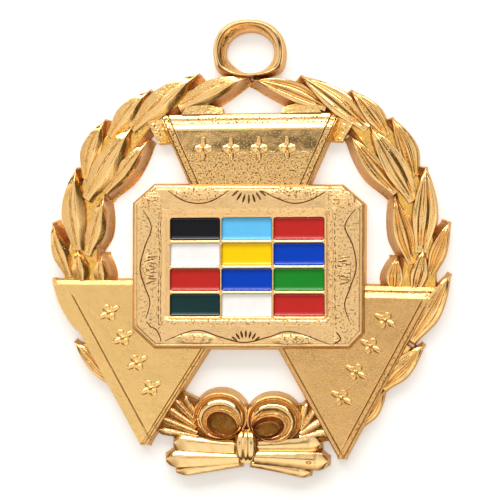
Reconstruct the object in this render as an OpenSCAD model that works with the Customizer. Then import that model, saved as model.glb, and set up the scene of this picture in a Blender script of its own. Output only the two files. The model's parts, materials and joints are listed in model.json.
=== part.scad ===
// A cast collar jewel: a laurel wreath over three triangular plates, an
// eight-sided breastplate with twelve enamelled cells, a bow and a loop.
// It lies on its back: +Z comes out of the face and the loop is toward +Y.
// The origin is under the middle of the jewel, on the plane of its back.

/* [Overall] */
// Scale of the whole jewel, 1 for the real size
jewel_scale = 1; // [0.5:0.05:2]
// Width across the tips of the wreath
wreath_w = 66.9; // [64:0.1:69]
// How far the hollowed back of the wreath and bow lies above the plates' backs
back_relief = 0.15; // [0.1:0.05:0.3]

/* [Loop] */
// Bore of the loop
loop_bore_d = 7.2; // [6:0.1:8]
// Outer width of the loop
loop_d = 12.2; // [11:0.1:13]
// Thickness of the loop at its crest
loop_t = 2.9; // [2.2:0.1:3.4]
// Distance from the origin to the middle of the loop
loop_y = 32.2; // [31.5:0.1:33]

/* [Wreath] */
// Width that the drafted foot of a leaf stands out past its edge
leaf_foot = 0.45; // [0.2:0.05:0.7]
// Height of the web that joins the leaves
web_t = 1.2; // [0.8:0.1:1.6]

/* [Plates] */
// Height of the plates' rims
plate_rim_z = 2.6; // [2.2:0.1:2.9]
// Height of the plates' fields
plate_field_z = 2.2; // [1.6:0.1:2.1]
// Height of a raised rosette above its field
rosette_t = 0.45; // [0.2:0.05:0.6]
// Length of a rosette
rosette_l = 4; // [3:0.1:4.2]
// Width of a rosette
rosette_w = 2.9; // [2.4:0.1:3.2]

/* [Breastplate] */
// Height of the breastplate's frame
frame_z = 3.6; // [3.3:0.1:4]
// Height of the walls between the cells
cell_wall_z = 3.2; // [3:0.1:3.25]
// Depth of the cells
cell_depth = 0.75; // [0.4:0.05:0.9]
// Width of a cell
cell_w = 8.36; // [8:0.02:8.4]
// Height of a cell across the breastplate
cell_h = 3.76; // [3.4:0.02:3.8]
// Width of the wall between two columns of cells
column_wall = 0.32; // [0.3:0.02:0.5]
// Width of the wall between two rows of cells
row_wall = 0.46; // [0.4:0.02:0.6]

/* [Enamel] */
// Thickness of the enamel in a cell
enamel_t = 0.6; // [0.3:0.05:0.7]
// Clearance round the enamel
enamel_gap = 0.03; // [0.02:0.01:0.06]

/* [Hidden] */
COLUMNS = 3;
ROWS = 4;
function cell_name(row, column) = str("enamel_row", row, "_column", column);
CELLS = [for (row = [1:ROWS], column = [1:COLUMNS]) [row, column]];

GOLD = [0.86, 0.66, 0.32];
ENAMELS = [
    ["black", "deepskyblue", "firebrick"],
    ["white", "gold", "mediumblue"],
    ["firebrick", "mediumblue", "forestgreen"],
    ["darkslategray", "white", "firebrick"]
];

// Leaves: foot x, foot y, tip x, tip y, half width, bow to the left, crest height
LEFT_LEAVES = [
    [-11.9, 23.4, -0.4, 28.3, 1.6, 0.5, 2.6],
    [-19.6, 19.6, -8.9, 28.5, 2.0, 0.4, 2.8],
    [-23.4, 18.6, -16.9, 25.9, 1.5, 0.4, 2.5],
    [-27.5, 11.6, -24.4, 21.3, 1.6, 0.7, 2.5],
    [-27.2, 8.0, -19.5, 20.3, 2.1, 0.2, 3.1],
    [-24.0, 9.0, -16.7, 17.9, 1.5, -0.3, 2.7],
    [-28.3, -0.4, -29.1, 13.3, 1.7, 0.6, 3.0],
    [-26.6, -1.2, -23.8, 8.4, 1.3, -0.3, 2.7],
    [-30.2, -4.8, -33.1, 4.0, 1.3, 0.2, 2.6],
    [-28.1, -7.2, -28.9, -0.2, 1.4, -0.3, 2.9],
    [-24.4, -7.2, -24.5, -1.1, 1.3, 0.1, 2.6],
    [-22.9, -23.9, -29.2, -16.4, 1.0, 0.3, 2.0]
];
RIGHT_LEAVES = [
    [12.6, 23.2, 0.4, 28.0, 1.6, -0.5, 2.6],
    [19.6, 19.6, 8.3, 28.4, 1.9, -0.4, 2.8],
    [23.0, 18.6, 16.9, 26.0, 1.5, -0.4, 2.5],
    [27.4, 11.6, 23.9, 21.4, 1.6, -0.8, 2.5],
    [27.0, 7.4, 19.4, 19.9, 2.0, -0.2, 3.1],
    [23.6, 8.2, 16.0, 17.6, 1.5, 0.3, 2.7],
    [28.4, -1.0, 29.2, 13.0, 1.7, -0.4, 3.0],
    [26.4, -2.8, 23.3, 7.9, 1.4, 0.4, 2.7],
    [29.8, -4.6, 33.1, 3.9, 1.3, 0.1, 2.6],
    [27.0, -7.8, 28.6, -0.4, 1.4, -0.2, 2.9],
    [23.4, -7.8, 23.9, -1.7, 1.3, 0.2, 2.6],
    [28.6, -16.0, 32.6, -5.8, 1.3, -0.4, 2.6],
    [23.0, -23.6, 28.5, -16.6, 1.1, -0.4, 2.2]
];

// Flutes of the bow's tails and the stalks: the same columns as the leaves
TAIL_FLUTES = [
    [-2.6, -33.9, -12.7, -33.4, 1.1, 0.3, 2.5],
    [-2.6, -34.9, -14.1, -35.3, 1.1, -0.2, 2.8],
    [-2.0, -35.3, -12.0, -37.1, 1.0, -0.3, 2.3],
    [1.0, -34.0, 11.2, -33.2, 1.1, -0.4, 2.5],
    [0.8, -34.8, 13.2, -35.3, 1.1, 0.1, 2.8],
    [0.1, -35.1, 9.9, -37.4, 0.9, 0.5, 2.3]
];
STALKS = [
    [-8.6, -31.3, -15.6, -30.3, 0.8, 0, 1.8],
    [-8.6, -30.4, -14.6, -27.6, 0.8, 0, 2.0],
    [-8.6, -29.2, -12.8, -25.2, 0.8, 0, 1.9],
    [7.6, -30.4, 9.7, -26.0, 0.8, 0, 1.9],
    [7.6, -30.9, 11.8, -28.2, 0.9, 0, 2.0],
    [7.6, -31.8, 13.4, -31.0, 0.9, 0, 1.8]
];

// How a leaf runs from foot to tip: way along it, then shares of its half width
// and of its crest height at the edge, the crest and the midrib
LEAF_RUN = [
    [0.00, 0.62, 0.58, 0.70, 0.58],
    [0.15, 0.84, 0.60, 0.86, 0.62],
    [0.34, 0.98, 0.62, 0.97, 0.68],
    [0.55, 0.98, 0.64, 1.00, 0.72],
    [0.75, 0.76, 0.66, 0.98, 0.80],
    [0.90, 0.42, 0.70, 0.94, 0.90],
    [1.00, 0.08, 0.74, 0.80, 0.80]
];
FLUTE_RUN = [
    [0.00, 0.90, 0.62, 0.90, 0.80],
    [0.40, 1.00, 0.64, 1.00, 0.86],
    [0.80, 0.95, 0.62, 0.96, 0.80],
    [1.00, 0.55, 0.60, 0.84, 0.74]
];

// Web under the leaves: x, y and half width at each station, from the loop down
LEFT_WEB = [
    [-5.6, 25.9, 1.0], [-11.8, 24.6, 1.8], [-16.8, 22.0, 2.6], [-21.0, 17.9, 3.5],
    [-24.6, 12.6, 3.1], [-26.4, 7.0, 3.0], [-27.2, 2.0, 3.2], [-27.7, -2.5, 3.5],
    [-27.6, -6.8, 4.3]
];
RIGHT_WEB = [
    [5.6, 25.7, 1.0], [11.8, 24.5, 1.8], [16.6, 22.0, 2.8], [20.6, 18.0, 3.6],
    [24.6, 12.6, 3.1], [26.5, 7.0, 3.0], [27.3, 2.0, 3.2], [27.5, -2.5, 3.5],
    [26.8, -9.4, 4.5]
];
// Metal between the top plate and the two top leaves, round a low gap
TOP_WEBS = [
    [[-12.5, 22.2], [-12.5, 24.8], [-2.0, 27.8], [0.2, 26.6], [-5.0, 23.3], [-4.2, 22.2]],
    [[12.5, 22.2], [12.5, 24.8], [2.0, 27.8], [0.2, 26.6], [5.6, 23.3], [4.8, 22.2]]
];

// Plates: corners A, B and C, then the rim's width along AB, BC and CA
PLATES = [
    [[-15.2, 22.4], [15.3, 22.4], [0.2, -12.0], 2.9, 2.0, 2.0],
    [[-33.2, -5.4], [0.0, -5.5], [-18.0, -32.9], 0.6, 1.0, 1.0],
    [[-1.2, -6.4], [31.2, -8.2], [15.4, -35.0], 1.9, 1.3, 1.1]
];
// Swell of the left plate's outer edge, where a leaf lies flush against it
PLATE_SWELL = [[-33.2, -5.4], [-32.6, -8.3], [-31.6, -10.2], [-30.1, -12.4], [-28.4, -14.6]];
// Rosettes: middle of the first, step to the next, turn
ROSETTE_ROWS = [
    [[-8.0, 16.5], [4.7, 0.0], 0],
    [[-24.0, -10.9], [2.4, -4.2], -60],
    [[22.2, -12.1], [-2.4, -4.25], 60]
];
ROSETTES_IN_ROW = 4;
ROSETTE_POINTS = 24;
// How deep the outline of a rosette draws in between its four lobes
ROSETTE_WAIST = 0.22;

// Outline of the breastplate, clockwise from its left side
BREASTPLATE = [
    [-19.6, 7.4], [-16.0, 10.4], [15.2, 10.0], [18.7, 6.9],
    [18.5, -14.2], [16.3, -16.8], [-16.2, -16.9], [-19.6, -13.5]
];
// Middle of the cells, and how far the frame's opening stands outside them
CELLS_MIDDLE = [-0.6, -3.3];
FRAME_SLOPE = [1.3, 1.25];
FRAME_EDGE = 0.55;
EDGE_Z = frame_z - 0.35;

grid_w = COLUMNS * cell_w + (COLUMNS - 1) * column_wall;
grid_h = ROWS * cell_h + (ROWS - 1) * row_wall;
cell_floor = cell_wall_z - cell_depth;

// Loops of the bow, as rings of an upright loft: x, y, half width, half
// height, turn and height of each ring, from the foot over the crest to the floor
LEFT_BOW_LOOP = [
    [-5.0, -28.3, 4.7, 4.9, 0, 0], [-5.0, -28.4, 4.3, 4.5, 0, 2.1],
    [-5.0, -28.5, 3.8, 4.0, 0, 2.9], [-4.9, -28.9, 3.1, 3.0, 0, 3.1],
    [-4.8, -29.4, 2.5, 1.8, -20, 2.8], [-4.8, -29.4, 2.1, 1.4, -20, 1.5]
];
RIGHT_BOW_LOOP = [
    [3.8, -28.5, 4.5, 4.7, 0, 0], [3.8, -28.6, 4.1, 4.3, 0, 2.1],
    [3.8, -28.7, 3.6, 3.8, 0, 2.9], [3.4, -29.1, 3.0, 2.7, 0, 3.1],
    [3.0, -29.6, 2.4, 1.6, 8, 2.8], [3.0, -29.6, 2.0, 1.2, 8, 1.5]
];
KNOT = [
    [-0.9, -33.1, 2.7, 3.1, 0, 0], [-0.9, -33.1, 2.3, 2.8, 0, 2.6],
    [-0.9, -33.0, 2.0, 2.5, 0, 3.3], [-0.9, -33.0, 1.4, 2.0, 0, 3.65]
];
LOFT_SIDES = 22;
BOW_WEB = [
    [-17.0, -29.9], [-12.8, -23.5], [-10.6, -24.4], [-8.4, -25.6], [8.0, -26.0], [8.9, -25.4],
    [10.6, -25.8], [14.2, -32.0], [11.2, -33.4], [-12.6, -33.2]
];

// Metal that widens the loop's feet onto the two top leaves
LOOP_SHOULDERS = [
    [[-6.0, 32.6], [-5.9, 30.2], [-6.5, 28.2], [-1.8, 27.2], [-0.6, 28.3], [-4.2, 30.2]],
    [[5.95, 32.6], [5.5, 30.4], [6.1, 28.2], [1.4, 27.2], [0.2, 28.3], [4.2, 30.2]]
];
SHOULDER_T = 1.8;
// The loop's rounded wall outside its crest and inside it: distance in from the
// outer edge or out from the bore, and share of the thickness
LOOP_OUTSIDE = [[0, 0], [0.35, 0.62], [0.75, 0.92], [1.2, 1]];
LOOP_INSIDE = [[0.5, 0.8]];
// Height of the bore's straight wall, from the back
LOOP_LAND = 1.0;
LOOP_FACETS = 96;
// How far the shoulders and the leaves' tips stay clear of the bore
SHOULDER_ROOM = 0.3;
TIP_ROOM = 0.15;
TIP_FACETS = 48;
// How far a cutter runs past what it cuts, and how thin a hull's flat end is
JOIN = 1;
SHEET = 0.01;

function left_of(v) = [-v.y, v.x] / norm(v);

// Crossing of two lines, each through a point p along a direction d
function crossing(p1, d1, p2, d2) =
    p1 + d1 * ((p2.x - p1.x) * d2.y - (p2.y - p1.y) * d2.x) / (d1.x * d2.y - d1.y * d2.x);

// A clockwise outline drawn in by its own distance along each edge
function drawn_in(outline, by) =
    let (n = len(outline))
    [for (i = [0:n - 1])
        let (
            before = outline[(i + n - 1) % n],
            here = outline[i],
            after = outline[(i + 1) % n],
            d1 = here - before,
            d2 = after - here
        )
        crossing(here - left_of(d1) * by[(i + n - 1) % n], d1, here - left_of(d2) * by[i], d2)];

function along(row, t) =
    let (foot = [row[0], row[1]], way = [row[2], row[3]] - foot)
    foot + way * t + left_of(way) * row[5] * 4 * t * (1 - t);

// One cross section of a leaf: foot, edge, crest, midrib, crest, edge, foot
function section(row, run) =
    let (
        way = [row[2] - row[0], row[3] - row[1]],
        middle = along(row, run[0]),
        half = row[4] * run[1],
        across = [-half - leaf_foot, -half, -0.6 * half, 0, 0.6 * half, half, half + leaf_foot],
        up = [0, run[2], run[3], run[4], run[3], run[2], 0] * row[6]
    )
    [for (i = [0:6]) concat(middle + left_of(way) * across[i], up[i])];

// Walls between rings of the same number of points, with both ends closed
module loft(rings) {
    n = len(rings[0]);
    last = len(rings) - 1;
    polyhedron(
        points = [for (ring = rings) each ring],
        faces = concat(
            [[for (i = [n - 1:-1:0]) i]],
            [for (k = [0:last - 1], i = [0:n - 1]) each [
                [k * n + i, k * n + (i + 1) % n, (k + 1) * n + (i + 1) % n],
                [k * n + i, (k + 1) * n + (i + 1) % n, (k + 1) * n + i]
            ]],
            [[for (i = [0:n - 1]) last * n + i]]
        )
    );
}

module leaf(row, runs = LEAF_RUN) {
    loft([for (run = runs) section(row, run)]);
}

// A round form lofted upward through ellipses
module ellipse_loft(rows) {
    loft([for (row = rows)
        [for (i = [0:LOFT_SIDES - 1])
            let (
                a = -360 * i / LOFT_SIDES,
                x = row[2] * cos(a),
                y = row[3] * sin(a)
            )
            [row[0] + x * cos(row[4]) - y * sin(row[4]), row[1] + x * sin(row[4]) + y * cos(row[4]), row[5]]]]);
}

// Flat band along a row of stations
module web(stations) {
    n = len(stations);
    function at(i) = [stations[i].x, stations[i].y];
    function out(i) = left_of(at(min(i + 1, n - 1)) - at(max(i - 1, 0))) * stations[i][2];
    linear_extrude(web_t)
        polygon(concat(
            [for (i = [0:n - 1]) at(i) + out(i)],
            [for (i = [n - 1:-1:0]) at(i) - out(i)]
        ));
}

module wreath() {
    for (row = concat(LEFT_LEAVES, RIGHT_LEAVES)) leaf(row);
    web(LEFT_WEB);
    web(RIGHT_WEB);
    linear_extrude(web_t)
        for (outline = TOP_WEBS) polygon(outline);
}

module bow() {
    ellipse_loft(LEFT_BOW_LOOP);
    ellipse_loft(RIGHT_BOW_LOOP);
    ellipse_loft(KNOT);
    for (row = concat(TAIL_FLUTES, STALKS)) leaf(row, FLUTE_RUN);
    linear_extrude(web_t) polygon(BOW_WEB);
}

module loop_bore(room, facets) {
    translate([0, loop_y, -JOIN])
        cylinder(r = loop_bore_d / 2 + room, h = loop_t + 2 * JOIN, $fn = facets);
}

module loop() {
    bore_r = loop_bore_d / 2;
    outer_r = loop_d / 2;
    translate([0, loop_y, 0])
        rotate_extrude($fn = LOOP_FACETS)
            polygon(concat(
                [[bore_r, 0]],
                [for (p = LOOP_OUTSIDE) [outer_r - p.x, loop_t * p.y]],
                [for (p = LOOP_INSIDE) [bore_r + p.x, loop_t * p.y]],
                [[bore_r, LOOP_LAND]]
            ));
    difference() {
        linear_extrude(SHOULDER_T)
            for (outline = LOOP_SHOULDERS) polygon(outline);
        loop_bore(SHOULDER_ROOM, LOOP_FACETS);
    }
}

module rosette() {
    linear_extrude(plate_field_z + rosette_t)
        polygon([for (i = [0:ROSETTE_POINTS - 1])
            let (a = 360 * i / ROSETTE_POINTS, reach = 1 - ROSETTE_WAIST + ROSETTE_WAIST * cos(4 * a))
            [rosette_w / 2 * reach * cos(a), rosette_l / 2 * reach * sin(a)]]);
}

module plate(row) {
    corners = [row[0], row[1], row[2]];
    difference() {
        linear_extrude(plate_rim_z) polygon(corners);
        translate([0, 0, plate_field_z])
            linear_extrude(plate_rim_z) polygon(drawn_in(corners, [row[3], row[4], row[5]]));
    }
}

module plates() {
    for (row = PLATES) plate(row);
    linear_extrude(plate_field_z) polygon(concat(PLATE_SWELL, [[-25, -10]]));
    for (row = ROSETTE_ROWS, i = [0:ROSETTES_IN_ROW - 1])
        translate(row[0] + i * row[1]) rotate(row[2]) rosette();
}

module breastplate_body() {
    linear_extrude(EDGE_Z) polygon(BREASTPLATE);
    linear_extrude(frame_z)
        polygon(drawn_in(BREASTPLATE, [for (corner = BREASTPLATE) FRAME_EDGE]));
}

// The frame's sloped opening, down to the tops of the walls between the cells
module frame_opening() {
    rise = frame_z - cell_wall_z;
    translate([CELLS_MIDDLE.x, CELLS_MIDDLE.y, cell_wall_z])
        hull() {
            linear_extrude(SHEET) square([grid_w + 2 * column_wall, grid_h + 2 * column_wall], center = true);
            translate([0, 0, rise])
                linear_extrude(JOIN)
                    square([grid_w, grid_h] + 2 * FRAME_SLOPE, center = true);
        }
}

module at_cell(row, column) {
    translate([
        CELLS_MIDDLE.x + (column - (COLUMNS + 1) / 2) * (cell_w + column_wall),
        CELLS_MIDDLE.y - (row - (ROWS + 1) / 2) * (cell_h + row_wall),
        cell_floor
    ])
        children();
}

module jewel_casting() {
    color(GOLD)
        difference() {
            union() {
                translate([0, 0, back_relief])
                    resize([wreath_w, 0, 0])
                        difference() {
                            union() {
                                wreath();
                                bow();
                            }
                            loop_bore(TIP_ROOM, TIP_FACETS);
                        }
                loop();
                plates();
                breastplate_body();
            }
            frame_opening();
            for (c = CELLS)
                at_cell(c.x, c.y)
                    linear_extrude(cell_depth + JOIN) square([cell_w, cell_h], center = true);
        }
}

module enamel(row, column) {
    color(ENAMELS[row - 1][column - 1])
        at_cell(row, column)
            linear_extrude(enamel_t)
                square([cell_w, cell_h] - 2 * enamel_gap * [1, 1], center = true);
}

scale(jewel_scale) {
    jewel_casting();
    for (c = CELLS)
        enamel(c.x, c.y);
}
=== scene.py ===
"""Looks of a cast and enamelled collar jewel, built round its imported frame.

The jewel lies on its back: +Z comes out of its face, its loop is toward +Y, and the
origin is under its middle. Sizes are millimetres in that frame while a form is being
shaped, and a finished mesh is turned into metres as its last step.
"""

from __future__ import annotations

import json
import logging
import math
import random
from dataclasses import dataclass, replace
from enum import Enum
from typing import Callable, Iterable, Sequence

import bmesh
import bpy
from mathutils import Matrix, Vector, noise

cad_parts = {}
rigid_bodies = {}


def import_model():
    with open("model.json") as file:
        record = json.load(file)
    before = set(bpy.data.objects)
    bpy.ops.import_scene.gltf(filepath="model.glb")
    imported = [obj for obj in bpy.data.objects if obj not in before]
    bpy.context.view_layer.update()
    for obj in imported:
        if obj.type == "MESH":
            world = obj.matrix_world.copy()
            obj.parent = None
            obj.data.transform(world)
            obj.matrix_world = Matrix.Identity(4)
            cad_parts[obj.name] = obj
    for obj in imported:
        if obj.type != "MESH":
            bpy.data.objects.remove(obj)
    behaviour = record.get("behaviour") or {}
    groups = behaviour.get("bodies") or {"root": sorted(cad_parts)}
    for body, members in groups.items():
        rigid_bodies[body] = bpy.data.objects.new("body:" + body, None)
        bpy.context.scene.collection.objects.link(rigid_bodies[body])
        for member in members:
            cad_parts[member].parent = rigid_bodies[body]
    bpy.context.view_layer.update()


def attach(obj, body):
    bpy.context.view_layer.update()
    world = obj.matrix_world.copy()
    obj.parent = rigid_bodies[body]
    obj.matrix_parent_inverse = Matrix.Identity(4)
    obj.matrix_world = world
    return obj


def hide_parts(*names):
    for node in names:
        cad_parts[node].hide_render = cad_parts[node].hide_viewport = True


LOG = logging.getLogger("collar_jewel")
MM = 0.001
CASTING = "jewel_casting"
BODY = "root"
SEED = 41  # where the random draws for the leaves start
SPECK = 0.0005  # edges shorter than this are taken away, in millimetres
SHARP_FROM = 32.0  # angle between faces from which an edge looks sharp, in degrees
CREASE_SHADE_RANGE = (0.05, 0.27)  # how far into a fold or groove a place lies where the painted shade of creases starts and where it is full

Point = tuple[float, float]
Row = Sequence[float]
Colour = tuple[float, float, float]
Place = Callable[[float, float, float], Vector]
Paint = Callable[[Vector], float]


def ease(value: float, start: float = 0.0, end: float = 1.0) -> float:
    """Ease from 0 to 1 as a value goes from start to end."""
    held = min(1.0, max(0.0, (value - start) / (end - start)))
    return held * held * (3 - 2 * held)


def mix(start: float, end: float, share: float) -> float:
    """Give the number that lies a share of the way from start to end."""
    return start + (end - start) * share


def bell(offset: float, width: float) -> float:
    """Give a soft bump that is 1 at no offset and fades over its width."""
    return math.exp(-((offset / width) ** 2))


def ripple(x: float, y: float, size: float, layer: float = 0.0) -> float:
    """Give smooth, repeatable noise from -1 to 1 with lumps of about one size."""
    return noise.noise(Vector((x / size, y / size, layer)))


def uneven(x: float, y: float, waves: Sequence[Point]) -> float:
    """Add up ripples of several heights and sizes at a place."""
    return sum(tall * ripple(x, y, wide) for tall, wide in waves)


def rim_side(value: float) -> int:
    """Tell which end of the range -1 to 1 a value is at: -1, 1, or 0 for neither."""
    return round(value) if abs(abs(value) - 1) < 1e-4 else 0


def along_table(rows: Sequence[Point], at: float) -> float:
    """Read a table, going straight from each row to the next.

    Args:
        rows: Places and their values, from the lowest place up.
        at: The place that is asked for.

    Returns:
        The value there.
    """
    if at <= rows[0][0]:
        return rows[0][1]
    for (start, low), (end, high) in zip(rows, rows[1:]):
        if at <= end:
            return mix(low, high, (at - start) / (end - start))
    return rows[-1][1]


def left_of(way: Vector) -> Vector:
    """Give the unit vector that points to the left of a flat direction."""
    return Vector((-way.y, way.x)).normalized()


def spline(points: Sequence[Row], share: float) -> list[float]:
    """Follow a smooth curve through rows of numbers.

    Args:
        points: Rows of equal length that the curve passes through.
        share: Way along the curve, from 0 to 1.

    Returns:
        The row of numbers at that place.
    """
    last = len(points) - 1
    place = min(max(share, 0.0), 1.0) * last
    index = min(int(place), last - 1)
    t = place - index
    before, here = points[max(index - 1, 0)], points[index]
    there, after = points[index + 1], points[min(index + 2, last)]
    return [
        b + 0.5 * t * (c - a + t * (2 * a - 5 * b + 4 * c - d + t * (3 * (b - c) + d - a)))
        for a, b, c, d in zip(before, here, there, after)
    ]


def crossing(first: Vector, way: Vector, second: Vector, other_way: Vector) -> Vector:
    """Give the point where two flat lines cross.

    Args:
        first: A point of one line.
        way: The direction of that line.
        second: A point of the other line.
        other_way: The direction of the other line.

    Returns:
        The point on both lines.
    """
    across = way.x * other_way.y - way.y * other_way.x
    gap = second - first
    return first + way * ((gap.x * other_way.y - gap.y * other_way.x) / across)


def drawn_in(outline: Sequence[Vector], by: Row) -> list[Vector]:
    """Draw a clockwise outline in by its own distance along each edge.

    Args:
        outline: Corners of the outline, clockwise.
        by: Distance for the edge that starts at each corner; below 0 lets it out.

    Returns:
        The corners of the drawn outline.
    """
    count = len(outline)
    corners = []
    for i, here in enumerate(outline):
        arriving = here - outline[i - 1]
        leaving = outline[(i + 1) % count] - here
        start = here - left_of(arriving) * by[i - 1]
        end = here - left_of(leaving) * by[i]
        corners.append(crossing(start, arriving, end, leaving))
    return corners


def rounded_rectangle(middle: Vector, half: Vector, radius: float, steps: int = 5) -> list[Vector]:
    """Give the outline of a rectangle with rounded corners.

    Args:
        middle: Its middle.
        half: Half of its width and height.
        radius: Radius of its corners.
        steps: Edges that a corner is made of.

    Returns:
        The corners of the outline, counter-clockwise.
    """
    points = []
    for sx, sy, start in ((1, 1, 0), (-1, 1, 90), (-1, -1, 180), (1, -1, 270)):
        corner = middle + Vector((sx * (half.x - radius), sy * (half.y - radius)))
        for i in range(steps + 1):
            angle = math.radians(start + 90 * i / steps)
            points.append(corner + radius * Vector((math.cos(angle), math.sin(angle))))
    return points


def flat(points: Iterable[Point]) -> list[Vector]:
    """Turn pairs of numbers into flat vectors."""
    return [Vector(point) for point in points]


def verts_in(parts: Iterable[object]) -> list[bmesh.types.BMVert]:
    """Pick the vertices out of what an operator made."""
    return [part for part in parts if isinstance(part, bmesh.types.BMVert)]


class Join(Enum):
    """How closed forms are combined."""

    FUSE = "UNION"
    CUT = "DIFFERENCE"


class Form:
    """A closed mesh in millimetres that is still being shaped."""

    def __init__(self, shape: bmesh.types.BMesh) -> None:
        """Keep a mesh, with its faces turned outward."""
        self.shape = shape
        bmesh.ops.recalc_face_normals(shape, faces=shape.faces[:])
        if shape.calc_volume(signed=True) < 0:
            bmesh.ops.reverse_faces(shape, faces=shape.faces[:])

    @classmethod
    def relief(cls, place: Place, along: int, across: int, skirt: Row) -> Form:
        """Bend a flat grid with a wall all round it into a closed relief.

        Args:
            place: Gives the point for a way along (0 to 1), a way across (-1 to 1)
                and a level (1 on the face, 0 at the foot of the wall).
            along: Grid steps along the relief.
            across: Grid steps across it.
            skirt: Levels of the rings down the wall, ending with 0.

        Returns:
            The closed form.
        """
        shape = bmesh.new()
        bmesh.ops.create_grid(shape, x_segments=along, y_segments=across, size=1.0)
        bmesh.ops.translate(shape, verts=shape.verts[:], vec=(0, 0, 1))
        for level in skirt:
            rim = [edge for edge in shape.edges if edge.is_boundary]
            made = bmesh.ops.extrude_edge_only(shape, edges=rim)["geom"]
            for vert in verts_in(made):
                vert.co.z = level
        bmesh.ops.contextual_create(shape, geom=[edge for edge in shape.edges if edge.is_boundary])
        for vert in shape.verts:
            vert.co = place((vert.co.x + 1) / 2, vert.co.y, vert.co.z)
        return cls(shape)

    @classmethod
    def tube(cls, place: Callable[[int, int], Vector], around: int, rings: int) -> Form:
        """Bend a straight tube with closed ends into a form.

        Args:
            place: Gives the point for a step round the tube and a ring's number.
            around: Steps round the tube.
            rings: Number of rings.

        Returns:
            The closed form.
        """
        shape = bmesh.new()
        bmesh.ops.create_circle(shape, cap_ends=True, radius=1.0, segments=around)
        rim = shape.edges[:]
        for ring in range(1, rings):
            made = bmesh.ops.extrude_edge_only(shape, edges=rim)["geom"]
            raised = set(verts_in(made))
            for vert in raised:
                vert.co.z = ring
            rim = [e for e in made if isinstance(e, bmesh.types.BMEdge) and raised.issuperset(e.verts)]
        bmesh.ops.contextual_create(shape, geom=rim)
        for vert in shape.verts:
            turn = math.atan2(vert.co.y, vert.co.x) / math.tau
            vert.co = place(round(turn * around) % around, round(vert.co.z))
        return cls(shape)

    @classmethod
    def ring(cls, place: Callable[[float, float], Vector], around: int, sides: int) -> Form:
        """Bend a ring tube into a closed band.

        Args:
            place: Gives the point for a share of the way round the ring and a share
                of the way along its cross section.
            around: Steps round the ring.
            sides: Points of the cross section.

        Returns:
            The closed form.
        """
        shape = bmesh.new()
        far = 3
        upright = Matrix.Translation((far, 0, 0)) @ Matrix.Rotation(math.pi / 2, 4, "X")
        made = bmesh.ops.create_circle(shape, radius=1.0, segments=sides, matrix=upright)
        bmesh.ops.spin(
            shape, geom=made["verts"] + shape.edges[:], axis=(0, 0, 1), cent=(0, 0, 0),
            angle=math.tau, steps=around, use_merge=True,
        )
        for vert in shape.verts:
            turn = math.atan2(vert.co.y, vert.co.x) / math.tau
            side = math.atan2(vert.co.z, vert.co.to_2d().length - far) / math.tau
            vert.co = place(turn % 1.0, round((side % 1.0) * sides) % sides / sides)
        return cls(shape)

    @classmethod
    def stack(cls, outlines: Sequence[Sequence[Vector]], heights: Row) -> Form:
        """Raise walls through outlines of one number of corners.

        Args:
            outlines: The outlines, from the lowest up.
            heights: The height of each outline.

        Returns:
            The closed form.
        """
        def place(step: int, ring: int) -> Vector:
            """Give a corner of an outline at its height."""
            corner = outlines[ring][step]
            return Vector((corner.x, corner.y, heights[ring]))
        return cls.tube(place, len(outlines[0]), len(outlines))

    @classmethod
    def prism(cls, outline: Sequence[Vector], low: float, high: float) -> Form:
        """Raise straight walls on an outline."""
        return cls.stack([outline, outline], [low, high])

    @classmethod
    def sweep(cls, path: Sequence[Vector], radius: Callable[[float], Point], around: int = 8) -> Form:
        """Run an ellipse along a path.

        Args:
            path: Points of the middle line.
            radius: Gives the half width and half height at a share of the way.
            around: Sides of the ellipse.

        Returns:
            The closed form.
        """
        last = len(path) - 1

        def place(step: int, ring: int) -> Vector:
            """Give a point of the ellipse round a point of the path."""
            ahead = path[min(ring + 1, last)] - path[max(ring - 1, 0)]
            side = left_of(ahead.to_2d()).to_3d()
            wide, tall = radius(ring / last)
            angle = math.tau * step / around
            return path[ring] + side * wide * math.cos(angle) + Vector((0, 0, tall * math.sin(angle)))
        return cls.tube(place, around, len(path))

    @classmethod
    def bead(cls, centre: Vector, radii: Vector, finer: int) -> Form:
        """Make an ellipsoid.

        Args:
            centre: Its middle.
            radii: Its half sizes along X, Y and Z.
            finer: How often its faces are split.

        Returns:
            The closed form.
        """
        shape = bmesh.new()
        place = Matrix.Translation(centre) @ Matrix.Diagonal(radii).to_4x4()
        bmesh.ops.create_icosphere(shape, subdivisions=finer, radius=1.0, matrix=place)
        return cls(shape)

    def combine(self, others: Sequence[Form], how: Join) -> Form:
        """Fuse this form with others or cut them out of it, and keep the result here.

        Args:
            others: The forms that are added or taken away; they aren't changed.
            how: Whether they are added or taken away.

        Returns:
            This form.
        """
        scene = bpy.context.scene
        tools = bpy.data.collections.new("tools")
        scene.collection.children.link(tools)
        for other in others:
            tools.objects.link(other.as_object("tool"))
        base = self.as_object("base")
        scene.collection.objects.link(base)
        modifier = base.modifiers.new("combine", "BOOLEAN")
        modifier.operation = how.value
        modifier.solver = "MANIFOLD"
        modifier.operand_type = "COLLECTION"
        modifier.collection = tools
        bpy.context.view_layer.update()
        graph = bpy.context.evaluated_depsgraph_get()
        result = bpy.data.meshes.new_from_object(base.evaluated_get(graph))
        self.shape = bmesh.new()
        self.shape.from_mesh(result)
        for used in [*tools.objects, base]:
            bpy.data.meshes.remove(used.data)
        bpy.data.collections.remove(tools)
        bpy.data.meshes.remove(result)
        return self

    def as_object(self, name: str) -> bpy.types.Object:
        """Copy the form into a new, unlinked object."""
        mesh = bpy.data.meshes.new(name)
        self.shape.to_mesh(mesh)
        return bpy.data.objects.new(name, mesh)

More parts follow.
